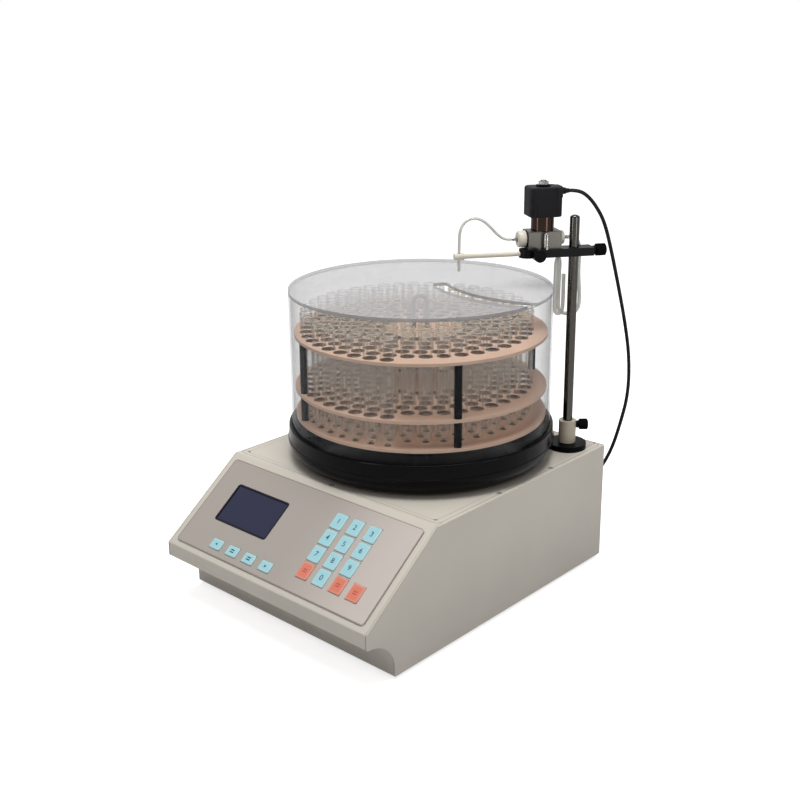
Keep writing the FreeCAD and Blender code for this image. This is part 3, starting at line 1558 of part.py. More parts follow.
def write():
    """Check every object and write each piece to its own file."""
    doc.recompute()
    failed = [item.Label for item in doc.Objects if {"Invalid", "Error"} & set(item.State)]
    if failed:
        raise ValueError(f"failed objects: {failed}")
    for item in pieces:
        if item.Shape.isNull() or not item.Shape.isValid():
            raise ValueError(f"bad shape: {item.Label}")
    os.makedirs("parts", exist_ok=True)
    for item in pieces:
        item.Shape.exportStep(f"parts/{item.Label}.step")
        print(item.Label, len(item.Shape.Solids), round(item.Shape.Volume, 1))


build()
write()
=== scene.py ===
"""Looks of a fraction collector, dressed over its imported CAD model."""
import json
import logging
import math
from dataclasses import dataclass, field
from enum import Enum
from typing import Any, Sequence, Union

import bmesh
import bpy
from mathutils import Matrix, Vector

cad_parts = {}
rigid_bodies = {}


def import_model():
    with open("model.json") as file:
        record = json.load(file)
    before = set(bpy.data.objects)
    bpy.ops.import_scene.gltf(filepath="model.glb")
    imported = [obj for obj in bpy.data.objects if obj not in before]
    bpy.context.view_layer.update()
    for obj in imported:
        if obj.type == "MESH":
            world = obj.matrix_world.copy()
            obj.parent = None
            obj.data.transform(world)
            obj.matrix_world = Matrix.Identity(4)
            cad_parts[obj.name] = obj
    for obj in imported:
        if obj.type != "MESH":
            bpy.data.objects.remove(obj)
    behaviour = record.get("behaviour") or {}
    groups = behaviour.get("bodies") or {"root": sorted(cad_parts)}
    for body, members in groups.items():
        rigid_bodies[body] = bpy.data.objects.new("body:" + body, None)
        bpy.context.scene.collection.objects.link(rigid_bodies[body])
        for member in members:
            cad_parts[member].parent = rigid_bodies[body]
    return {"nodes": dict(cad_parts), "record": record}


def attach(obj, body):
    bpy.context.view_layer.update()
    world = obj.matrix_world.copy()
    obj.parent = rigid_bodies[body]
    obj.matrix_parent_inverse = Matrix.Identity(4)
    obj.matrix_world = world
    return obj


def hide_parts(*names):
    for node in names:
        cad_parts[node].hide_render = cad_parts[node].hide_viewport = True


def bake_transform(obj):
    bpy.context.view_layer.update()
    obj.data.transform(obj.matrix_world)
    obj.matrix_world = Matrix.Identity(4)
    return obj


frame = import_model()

LOG = logging.getLogger("fraction_collector")
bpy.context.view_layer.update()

Socket = Union[bpy.types.NodeSocket, float, int, Sequence[float], None]
Point = tuple[float, float, float]
Colour = tuple[int, int, int]

# ---------------------------------------------------------------- shared places, in millimetres

MM = 0.001
PER_METRE = 1000.0
BODY_HEIGHT = 127.0
FASCIA_HIGH = 56.5
SLOPE_RUN = 94.0
AXIS_BACK = 231.0
MAST_ACROSS = 113.0
MAST_BACK = 337.0
ARM_ANGLE = math.radians(233.2)
COLLAR_KNOB_TURN = math.radians(43.0)
SLOPE_TILT = math.atan2(BODY_HEIGHT - FASCIA_HIGH, SLOPE_RUN)

HOUSING = Matrix.Scale(MM, 4) @ Matrix.Translation((0.0, -191.0, 4.0))
SLOPE = HOUSING @ Matrix.Translation((0.0, 0.0, FASCIA_HIGH)) @ Matrix.Rotation(SLOPE_TILT, 4, "X")
TABLE = HOUSING @ Matrix.Translation((0.0, AXIS_BACK, 0.0))
MAST = HOUSING @ Matrix.Translation((MAST_ACROSS, MAST_BACK, 0.0))
ARM = MAST @ Matrix.Rotation(ARM_ANGLE, 4, "Z")
ALONG_X = Matrix.Rotation(math.radians(90.0), 4, "Y")
AGAINST_X = Matrix.Rotation(math.radians(-90.0), 4, "Y")


class Body(Enum):
    """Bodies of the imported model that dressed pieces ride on."""

    HOUSING = "housing"
    TURNTABLE = "turntable"
    MAST = "mast"
    ARM = "arm"
    NOZZLE = "nozzle_rod"
    COLLAR_KNOB = "collar_knob"
    CLAMP_KNOB = "clamp_knob"


# ---------------------------------------------------------------- mesh work


def lathe(work: bmesh.types.BMesh, profile: Sequence[tuple[float, float]], sides: int,
          place: Matrix = Matrix.Identity(4), finish: int = 0, closed: bool = False) -> None:
    """Turn a profile about the z axis.

    Args:
        work: Mesh that gets the faces.
        profile: Radius and height of each ring in order; a radius of zero is a pole.
        sides: Number of faces round the axis.
        place: Matrix that the turned shape is laid with.
        finish: Material slot of the faces.
        closed: Whether the last ring joins the first, as on a ring with a hole.
    """
    rings: list[list[bmesh.types.BMVert]] = []
    for radius, height in profile:
        if radius == 0:
            rings.append([work.verts.new(place @ Vector((0.0, 0.0, height)))])
            continue
        rings.append([
            work.verts.new(place @ Vector((radius * math.cos(turn), radius * math.sin(turn), height)))
            for turn in (2 * math.pi * side / sides for side in range(sides))])
    pairs = list(zip(rings, rings[1:])) + ([(rings[-1], rings[0])] if closed else [])
    for low, high in pairs:
        for side in range(sides):
            after = (side + 1) % sides
            corners = {
                (1, 1): [],
                (1, sides): [low[0], high[side % len(high)], high[after % len(high)]],
                (sides, 1): [low[side % len(low)], low[after % len(low)], high[0]],
            }.get((len(low), len(high)))
            if corners is None:
                corners = [low[side], low[after], high[after], high[side]]
            if corners:
                work.faces.new(corners).material_index = finish


def loft(work: bmesh.types.BMesh, rings: Sequence[Sequence[Vector]], finish: int = 0,
         hollow: bool = False) -> list[list[bmesh.types.BMVert]]:
    """Skin rings of equal length.

    Args:
        work: Mesh that gets the faces.
        rings: Rings of points in order.
        finish: Material slot of the faces.
        hollow: Whether the last ring joins the first; otherwise both ends are capped.

    Returns:
        The vertices of each ring.
    """
    made = [[work.verts.new(point) for point in ring] for ring in rings]
    pairs = list(zip(made, made[1:])) + ([(made[-1], made[0])] if hollow else [])
    for low, high in pairs:
        count = len(low)
        for side in range(count):
            after = (side + 1) % count
            work.faces.new([low[side], low[after], high[after], high[side]]).material_index = finish
    if not hollow:
        work.faces.new(list(reversed(made[0]))).material_index = finish
        work.faces.new(made[-1]).material_index = finish
    return made


def rounded_rectangle(half_width: float, half_height: float, corner: float, height: float,
                      steps: int = 5) -> list[Vector]:
    """Outline of a rectangle with round corners about the z axis.

    Args:
        half_width: Half its size along x.
        half_height: Half its size along y.
        corner: Radius of the corners.
        height: Height of the outline.
        steps: Spans of each corner.

    Returns:
        The points, anticlockwise.
    """
    points = []
    for quarter, (sign_x, sign_y) in enumerate(((1, 1), (-1, 1), (-1, -1), (1, -1))):
        for step in range(steps + 1):
            turn = math.pi / 2 * (quarter + step / steps)
            points.append(Vector((
                sign_x * (half_width - corner) + corner * math.cos(turn),
                sign_y * (half_height - corner) + corner * math.sin(turn), height)))
    return points


def piece(name: str, work: bmesh.types.BMesh, place: Matrix, finishes: Sequence[bpy.types.Material],
          smooth: float = 40.0) -> bpy.types.Object:
    """Turn mesh work into an object at the origin.

    Args:
        name: Name of the piece.
        work: Mesh in millimetres; it is freed.
        place: Matrix from the work's frame to the model's frame.
        finishes: Material of each slot.
        smooth: Angle in degrees below which edges are shaded smooth.

    Returns:
        The new object.
    """
    bmesh.ops.remove_doubles(work, verts=work.verts, dist=1e-5)
    bmesh.ops.recalc_face_normals(work, faces=work.faces)
    work.transform(place)
    mesh = bpy.data.meshes.new(name)
    work.to_mesh(mesh)
    work.free()
    return dressed_object(name, mesh, finishes, smooth)


def dressed_object(name: str, mesh: bpy.types.Mesh, finishes: Sequence[bpy.types.Material],
                   smooth: float) -> bpy.types.Object:
    """Link a mesh as an object with its materials and its shading set.

    Args:
        name: Name of the piece.
        mesh: Its mesh.
        finishes: Material of each slot.
        smooth: Angle in degrees below which edges are shaded smooth.

    Returns:
        The new object.
    """
    for finish in finishes:
        mesh.materials.append(finish)
    mesh.polygons.foreach_set("use_smooth", [True] * len(mesh.polygons))
    mesh.set_sharp_from_angle(angle=math.radians(smooth))
    made = bpy.data.objects.new(name, mesh)
    bpy.context.scene.collection.objects.link(made)
    return made


def evaluated_mesh(source: bpy.types.Object) -> bpy.types.Mesh:
    """Mesh of an object with its modifiers applied."""
    bpy.context.view_layer.update()
    return bpy.data.meshes.new_from_object(source.evaluated_get(bpy.context.evaluated_depsgraph_get()))


def settle(made: bpy.types.Object, body: Body, slot: str, *nodes: str) -> bpy.types.Object:
    """Attach a finished piece to its body and hide the CAD nodes that it stands for.

    Args:
        made: The piece, with its place in its mesh.
        body: Body that it rides on.
        slot: Material slot of the record; not used.
        *nodes: CAD nodes that it stands for.

    Returns:
        The piece.
    """
    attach(made, body.value)
    if nodes:
        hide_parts(*nodes)
    LOG.info("%s rides on %s and has %d faces", made.name, body.value, len(made.data.polygons))
    return made


# ---------------------------------------------------------------- shader work

FULL_LEVEL = 255
DARKER = 0.88
LIGHTER = 1.12


def linear_level(share: float) -> float:
    """Linear level of a screen level, both from 0 to 1."""
    return share / 12.92 if share <= 0.04045 else ((share + 0.055) / 1.055) ** 2.4


def tone(colour: Colour) -> tuple[float, float, float, float]:
    """Linear colour of an 8-bit screen colour, with a full alpha."""
    red, green, blue = (linear_level(level / FULL_LEVEL) for level in colour)
    return (red, green, blue, 1.0)


def grey(level: float) -> tuple[float, float, float, float]:
    """Even grey of a linear level, with a full alpha."""
    return (level, level, level, 1.0)


class Bench:
    """A node tree under construction."""

    def __init__(self, tree: bpy.types.NodeTree) -> None:
        """Start on a tree."""
        self.tree = tree

    def add(self, kind: str, sockets: dict[Union[int, str], Socket] | None = None,
            **settings: Any) -> bpy.types.Node:
        """Add a node.

        Args:
            kind: Type name of the node.
            sockets: Constant or linked output for each input, by name or number.
            **settings: Properties of the node.

        Returns:
            The new node.
        """
        made = self.tree.nodes.new(kind)
        for key, setting in settings.items():
            setattr(made, key, setting)
        for key, source in (sockets or {}).items():
            target = made.inputs[key]
            if isinstance(source, bpy.types.NodeSocket):
                self.tree.links.new(source, target)
            elif source is not None:
                target.default_value = source
        return made

    def math(self, operation: str, first: Socket, second: Socket = None,
             clamp: bool = False) -> bpy.types.NodeSocket:
        """Result of a Math node."""
        return self.add("ShaderNodeMath", {0: first, 1: second}, operation=operation,
                        use_clamp=clamp).outputs[0]

    def here(self) -> bpy.types.NodeSocket:
        """Place on the piece, in metres of the model's frame."""
        return self.add("ShaderNodeTexCoord").outputs["Object"]

    def parts(self, vector: Socket) -> bpy.types.bpy_prop_collection:
        """Outputs with the three parts of a vector."""
        return self.add("ShaderNodeSeparateXYZ", {0: vector}).outputs

    def upright(self) -> bpy.types.NodeSocket:
        """Mask of the faces that stand upright."""
        normal = self.add("ShaderNodeNewGeometry").outputs["True Normal"]
        return self.math("LESS_THAN", self.math("ABSOLUTE", self.parts(normal)[2]), 0.5)

    def noise(self, place: Socket, size: Socket, detail: float,
              rough: Socket = None) -> bpy.types.NodeSocket:
        """Soft cloud of noise from 0 to 1."""
        return self.add("ShaderNodeTexNoise", {
            "Vector": place, "Scale": size, "Detail": detail, "Roughness": rough}).outputs["Fac"]

    def spread(self, source: Socket, low: float, high: float, to_low: float,
               to_high: float) -> bpy.types.NodeSocket:
        """Value mapped smoothly from one range to another.

        Args:
            source: The value.
            low: Start of its range.
            high: End of its range.
            to_low: What the start becomes.
            to_high: What the end becomes.

        Returns:
            The mapped value.
        """
        return self.add("ShaderNodeMapRange", {
            "Value": source, "From Min": low, "From Max": high, "To Min": to_low, "To Max": to_high,
        }, interpolation_type="SMOOTHSTEP").outputs["Result"]

    def mix(self, share: Socket, first: Socket, second: Socket) -> bpy.types.NodeSocket:
        """Colour mixed from two."""
        return self.add("ShaderNodeMix", {0: share, 6: first, 7: second}, data_type="RGBA").outputs[2]

    def bump(self, height: Socket, strength: float, distance: float) -> bpy.types.NodeSocket:
        """Normal of a small relief."""
        return self.add("ShaderNodeBump",
                        {"Height": height, "Strength": strength, "Distance": distance}).outputs[0]


def new_group(name: str, inputs: dict[str, float], outputs: dict[str, str]) -> tuple[Bench, Any, Any]:
    """Start a shader group.

    Args:
        name: Name of the group.
        inputs: Default of each float input.
        outputs: Socket type of each output.

    Returns:
        The bench, the group's input node and its output node.
    """
    tree = bpy.data.node_groups.new(name, "ShaderNodeTree")
    for label, default in inputs.items():
        given = tree.interface.new_socket(label, in_out="INPUT", socket_type="NodeSocketFloat")
        given.default_value = default
    for label, kind in outputs.items():
        tree.interface.new_socket(label, in_out="OUTPUT", socket_type=kind)
    bench = Bench(tree)
    return bench, bench.add("NodeGroupInput"), bench.add("NodeGroupOutput")


def fine_grain_group() -> bpy.types.NodeTree:
    """Fine even grain, as sprayed enamel or moulded plastic has.

    Returns:
        The group, which puts out a tone and a height.
    """
    bench, given, result = new_group("Fine grain", {"Size": 900.0, "Contrast": 0.5},
                                     {"Tone": "NodeSocketFloat", "Height": "NodeSocketFloat"})
    place = bench.here()
    coarse = bench.noise(place, bench.math("MULTIPLY", given.outputs["Size"], 0.02), 3.0)
    fine = bench.noise(place, given.outputs["Size"], 2.0)
    blend = bench.math("ADD", bench.math("MULTIPLY", coarse, 0.7), bench.math("MULTIPLY", fine, 0.3))
    centred = bench.math("MULTIPLY", bench.math("SUBTRACT", blend, 0.5), given.outputs["Contrast"])
    bench.tree.links.new(bench.math("ADD", centred, 0.5, clamp=True), result.inputs["Tone"])
    bench.tree.links.new(fine, result.inputs["Height"])
    return bench.tree


def brush_marks_group() -> bpy.types.NodeTree:
    """Marks of turning or grinding round an upright axis.

    Returns:
        The group, which puts out a tone and a height.
    """
    bench, given, result = new_group("Turning marks", {"Size": 2600.0, "Stretch": 0.04},
                                     {"Tone": "NodeSocketFloat", "Height": "NodeSocketFloat"})
    across, back, up = bench.parts(bench.here())
    squeezed = bench.add("ShaderNodeCombineXYZ", {
        0: bench.math("MULTIPLY", across, given.outputs["Stretch"]),
        1: bench.math("MULTIPLY", back, given.outputs["Stretch"]), 2: up}).outputs[0]
    marks = bench.noise(squeezed, given.outputs["Size"], 3.0)
    bench.tree.links.new(marks, result.inputs["Height"])
    bench.tree.links.new(bench.spread(marks, 0.3, 0.7, 0.0, 1.0), result.inputs["Tone"])
    return bench.tree


def handling_group() -> bpy.types.NodeTree:
    """Broad soft patches where a surface has been wiped and handled.

    Returns:
        The group, which puts out a mask.
    """
    bench, given, result = new_group("Handling", {"Size": 14.0}, {"Mask": "NodeSocketFloat"})
    cloud = bench.noise(bench.here(), given.outputs["Size"], 4.0, rough=0.6)
    bench.tree.links.new(bench.spread(cloud, 0.35, 0.7, 0.0, 1.0), result.inputs["Mask"])
    return bench.tree


def panel_plane_group() -> bpy.types.NodeTree:
    """Place on the sloping panel, in millimetres.

    Returns:
        The group, which puts out the place across from the panel's middle and up from the fascia's edge.
    """
    bench, _given, result = new_group("Panel plane", {},
                                      {"Across": "NodeSocketFloat", "Up": "NodeSocketFloat"})
    origin = tuple(SLOPE.to_translation())
    moved = bench.add("ShaderNodeVectorMath", {0: bench.here(), 1: origin}, operation="SUBTRACT").outputs[0]
    laid = bench.add("ShaderNodeVectorRotate", {"Vector": moved, "Angle": -SLOPE_TILT},
                     rotation_type="X_AXIS").outputs[0]
    for part, label in zip(bench.parts(laid), ("Across", "Up")):
        bench.tree.links.new(bench.math("MULTIPLY", part, PER_METRE), result.inputs[label])
    return bench.tree


class Effects:
    """Shader groups that several finishes share, each built once."""

    def __init__(self) -> None:
        """Build the groups."""
        self.grain = fine_grain_group()
        self.brush = brush_marks_group()
        self.handling = handling_group()
        self.panel = panel_plane_group()

    @staticmethod
    def use(bench: Bench, group: bpy.types.NodeTree, **given: float) -> bpy.types.Node:
        """Place a group in a material with its own values, named as its inputs are in lower case."""
        return bench.add("ShaderNodeGroup", {label.capitalize(): number for label, number in given.items()},
                         node_tree=group)


@dataclass(frozen=True)
class Finish:
    """A finish with an even colour, fine grain and handled patches."""

    name: str
    colour: Colour
    roughness: float = 0.45
    metallic: float = 0.0
    grain: float = 900.0
    contrast: float = 0.25
    relief: float = 0.08
    worn: float = 0.06
    coat: float = 0.0
    coat_roughness: float = 0.08
    specular: float = 0.5
    patch_size: float = 14.0
    depth: float = 0.0004

    def make(self, effects: Effects) -> bpy.types.Material:
        """Build the material.

        Args:
            effects: The shared shader groups.

        Returns:
            The material.
        """
        material, bench, shader = self.start()
        grain = effects.use(bench, effects.grain, size=self.grain, contrast=self.contrast)
        patches = effects.use(bench, effects.handling, size=self.patch_size).outputs["Mask"]
        dark, light = self.shades()
        shade = self.paint(bench, bench.mix(grain.outputs["Tone"], dark, light), effects)
        self.feed(bench, shader, "Base Color", shade)
        self.feed(bench, shader, "Roughness",
                  bench.spread(patches, 0.0, 1.0, self.roughness - self.worn, self.roughness + self.worn))
        self.feed(bench, shader, "Normal", bench.bump(grain.outputs["Height"], self.relief, self.depth))
        return material

    def paint(self, bench: Bench, shade: bpy.types.NodeSocket, effects: Effects) -> bpy.types.NodeSocket:
        """Change the colour where a finish has more to it; a plain finish has nothing to add."""
        return shade

    def shades(self) -> tuple[tuple[float, ...], tuple[float, ...]]:
        """Shades of the colour for the two ends of the grain.

        Returns:
            A darker and a lighter shade.
        """
        base = tone(self.colour)
        return (tuple(level * DARKER for level in base[:3]) + (1.0,),
                tuple(min(1.0, level * LIGHTER) for level in base[:3]) + (1.0,))

    def start(self) -> tuple[bpy.types.Material, Bench, bpy.types.Node]:
        """Begin a material.

        Returns:
            The material, its bench and its Principled shader with the plain values set.
        """
        material = bpy.data.materials.new(self.name)
        material.use_nodes = True
        material.diffuse_color = tone(self.colour)
        bench = Bench(material.node_tree)
        shader = material.node_tree.nodes["Principled BSDF"]
        shader.inputs["Metallic"].default_value = self.metallic
        shader.inputs["Coat Weight"].default_value = self.coat
        shader.inputs["Coat Roughness"].default_value = self.coat_roughness
        shader.inputs["Specular IOR Level"].default_value = self.specular
        return material, bench, shader

    @staticmethod
    def feed(bench: Bench, shader: bpy.types.Node, label: str, source: bpy.types.NodeSocket) -> None:
        """Link a socket of the shader."""
        bench.tree.links.new(source, shader.inputs[label])


@dataclass(frozen=True)
class PanelFilm(Finish):
    """Printed film on the sloping panel, with painted shade towards its left side and a painted shadow along
    its cut edge.
    """

    half_width: float = 131.5
    low: float = 6.0
    high: float = 110.0
    # shadow is the colour of the painted shadow along the cut edge; left is the colour of the painted shade
    # towards the left side
    shadow: Colour = (158, 150, 142)
    left: Colour = (176, 168, 160)

    def paint(self, bench: Bench, shade: bpy.types.NodeSocket, effects: Effects) -> bpy.types.NodeSocket:
        """Paint shade on the film's left side and a shadow along its cut edge.

        Args:
            bench: Bench of the material.
            shade: Colour so far.
            effects: The shared shader groups.

        Returns:
            The colour with that change.
        """
        plane = effects.use(bench, effects.panel)
        # painted shade: the film is darkened towards its left side, where less light falls
        leftward_shade = bench.spread(plane.outputs["Across"], self.half_width, 0.0, 0.0, 1.0)
        # painted shadow along the film's cut edge
        side = bench.spread(bench.math("ABSOLUTE", plane.outputs["Across"]),
                            self.half_width - 0.7, self.half_width - 0.2, 0.0, 1.0)
        bottom = bench.spread(plane.outputs["Up"], self.low + 0.7, self.low + 0.2, 0.0, 1.0)
        top = bench.spread(plane.outputs["Up"], self.high - 0.6, self.high - 0.1, 0.0, 0.6)
        edge = bench.math("MAXIMUM", bench.math("MAXIMUM", side, bottom), top)
        return bench.mix(edge, bench.mix(leftward_shade, shade, tone(self.left)), tone(self.shadow))


@dataclass(frozen=True)
class ScreenGlass(Finish):
    """Dark liquid crystal glass with a printed black margin and faint pixel rows."""

    middle: tuple[float, float] = (-65.6, 63.3)
    half_size: tuple[float, float] = (37.2, 21.45)
    margin: Colour = (26, 25, 36)
    lit: Colour = (62, 64, 90)
    glow: float = 0.1
    margin_from: float = 1.6
    margin_full: float = 1.1
    row_pitch: float = 12.0
    row_strength: float = 0.04

    def paint(self, bench: Bench, shade: bpy.types.NodeSocket, effects: Effects) -> bpy.types.NodeSocket:
        """Add the pixel rows and the black margin.

        Args:
            bench: Bench of the material.
            shade: Colour so far.
            effects: The shared shader groups.

        Returns:
            The colour with that change.
        """
        plane = effects.use(bench, effects.panel)
        from_middle = [bench.math("ABSOLUTE", bench.math("SUBTRACT", plane.outputs[label], centre))
                       for label, centre in zip(("Across", "Up"), self.middle)]
        rim = [bench.spread(distance, half - self.margin_from, half - self.margin_full, 0.0, 1.0)
               for distance, half in zip(from_middle, self.half_size)]
        wave = bench.math("SINE", bench.math("MULTIPLY", plane.outputs["Up"], self.row_pitch))
        rows = bench.math("MULTIPLY_ADD", wave, self.row_strength)
        lit = bench.mix(bench.math("ADD", rows, self.glow, clamp=True), shade, tone(self.lit))
        return bench.mix(bench.math("MAXIMUM", *rim), lit, tone(self.margin))


@dataclass(frozen=True)
class KeyFinish(Finish):
    """Key plastic, paler on the rounded border that the attribute 'border' marks."""

    pale: Colour = (190, 224, 228)

    def paint(self, bench: Bench, shade: bpy.types.NodeSocket, effects: Effects) -> bpy.types.NodeSocket:
        """Lighten the border."""
        border = bench.add("ShaderNodeAttribute", attribute_name="border").outputs["Fac"]
        return bench.mix(border, shade, tone(self.pale))


@dataclass(frozen=True)
class SheetPaint(Finish):
    """Enamel on sheet metal, with painted shade making it a touch darker low down on the upright sheets."""

    # low is the colour of the painted shade low down, and of the wiped patches
    low: Colour = (184, 178, 170)
    shade_height: float = 0.11
    low_shade: float = 0.6
    wiped_size: float = 7.0
    wiped: float = 0.1

    def paint(self, bench: Bench, shade: bpy.types.NodeSocket, effects: Effects) -> bpy.types.NodeSocket:
        """Paint shade on the enamel, growing slowly towards the bench, and darken its wiped patches.

        Args:
            bench: Bench of the material.
            shade: Colour so far.
            effects: The shared shader groups.

        Returns:
            The colour with that change.
        """
        up = bench.parts(bench.here())[2]
        patches = effects.use(bench, effects.handling, size=self.wiped_size).outputs["Mask"]
        # painted shade that grows towards the bench by height, plus the wiped patches
        share = bench.math("ADD", bench.spread(up, self.shade_height, 0.0, 0.0, self.low_shade),
                           bench.math("MULTIPLY", patches, self.wiped))
        return bench.mix(share, shade, tone(self.low))


@dataclass(frozen=True)
class RackPlastic(Finish):
    """Rack disc plastic, with painted brown shade on the walls of its holes."""

    hole_shade: Colour = (112, 78, 62)
    hole_shade_reach: float = 128.5

    def paint(self, bench: Bench, shade: bpy.types.NodeSocket, effects: Effects) -> bpy.types.NodeSocket:
        """Paint brown shade on the upright walls of the holes, and not on the disc's own rim.

        Args:
            bench: Bench of the material.
            shade: Colour so far.
            effects: The shared shader groups; not used.

        Returns:
            The colour with that change.
        """
        axis = tuple(TABLE.to_translation())
        out = bench.add("ShaderNodeVectorMath", {0: bench.here(), 1: axis}, operation="SUBTRACT").outputs[0]
        flat = bench.add("ShaderNodeVectorMath", {0: out, 1: (1.0, 1.0, 0.0)},
                         operation="MULTIPLY").outputs[0]
        reach = bench.add("ShaderNodeVectorMath", {0: flat}, operation="LENGTH").outputs["Value"]
        # painted shade on the upright walls inside the holes
        hole_shade = bench.math("MULTIPLY", bench.upright(),
                             bench.math("LESS_THAN", reach, self.hole_shade_reach * MM))
        return bench.mix(hole_shade, shade, tone(self.hole_shade))


@dataclass(frozen=True)
class MetalFinish(Finish):
    """Bright metal with marks of turning or grinding."""

    marks: float = 2600.0
    stretch: float = 0.04
    streaks: float = 0.1
    smoothest: float = 0.02
    depth: float = 0.0002

    def make(self, effects: Effects) -> bpy.types.Material:
        """Build the material.

        Args:
            effects: The shared shader groups.

        Returns:
            The material.
        """
        material, bench, shader = self.start()
        shader.inputs["Metallic"].default_value = 1.0
        marks = effects.use(bench, effects.brush, size=self.marks, stretch=self.stretch)
        dark, light = self.shades()
        self.feed(bench, shader, "Base Color", bench.mix(marks.outputs["Tone"], dark, light))
        smoothest = max(self.smoothest, self.roughness - self.streaks)
        self.feed(bench, shader, "Roughness",
                  bench.spread(marks.outputs["Tone"], 0.0, 1.0, smoothest, self.roughness + self.streaks))
        self.feed(bench, shader, "Normal", bench.bump(marks.outputs["Height"], self.relief, self.depth))
        return material


@dataclass(frozen=True)
class ClearFinish(Finish):
    """Clear sheet or glass that is nearly unseen face on and shows at its edges."""

    face: float = 0.12
    grazing: float = 0.7
    power: float = 4.0
    edge: Colour = (150, 151, 156)
    edge_alpha: float = 0.7
    rim_height: float = 1.0e3
    shade: float = 0.12
    ior: float = 1.49
    smear_size: float = 22.0
    smear_haze: float = 0.02

    def make(self, effects: Effects) -> bpy.types.Material:
        """Build the material.

        Args:
            effects: The shared shader groups.

        Returns:
            The material.
        """
        material, bench, shader = self.start()
        shader.inputs["IOR"].default_value = self.ior
        turned = bench.add("ShaderNodeLayerWeight", {"Blend": 0.5}).outputs["Facing"]
        # on the tubes and the lid, where the colour is pale, this veil thickening at grazing angles is a
        # painted reflection of the pale surroundings
        veil = bench.math("MULTIPLY", bench.math("POWER", turned, self.power), self.grazing - self.face)
        smears = effects.use(bench, effects.handling, size=self.smear_size).outputs["Mask"]
        coverage = bench.math("ADD", bench.math("ADD", veil, self.face),
                          bench.math("MULTIPLY", smears, self.smear_haze))
        cut = self.cut_edge(bench)
        alpha = bench.add("ShaderNodeMix", {0: cut, 2: coverage, 3: self.edge_alpha}).outputs[0]
        shading = bench.add("ShaderNodeLightPath").outputs["Is Shadow Ray"]
        kept = bench.math("SUBTRACT", 1.0, bench.math("MULTIPLY", shading, 1.0 - self.shade))
        self.feed(bench, shader, "Alpha", bench.math("MULTIPLY", alpha, kept))
        # on the tubes, the pale colour of the rims is a painted highlight
        self.feed(bench, shader, "Base Color", bench.mix(cut, tone(self.colour), tone(self.edge)))
        self.feed(bench, shader, "Roughness",
                  bench.spread(smears, 0.0, 1.0, self.roughness, self.roughness + self.worn))
        return material

    def cut_edge(self, bench: Bench) -> bpy.types.NodeSocket:
        """Mask of the sawn or fire-polished edge, which lies above a height."""
        return bench.math("GREATER_THAN", bench.parts(bench.here())[2], self.rim_height * MM)


@dataclass(frozen=True)
class ClearLid(ClearFinish):
    """Clear disc whose upright faces are its sawn edges."""

    def cut_edge(self, bench: Bench) -> bpy.types.NodeSocket:
        """Mask of the upright faces."""
        return bench.upright()


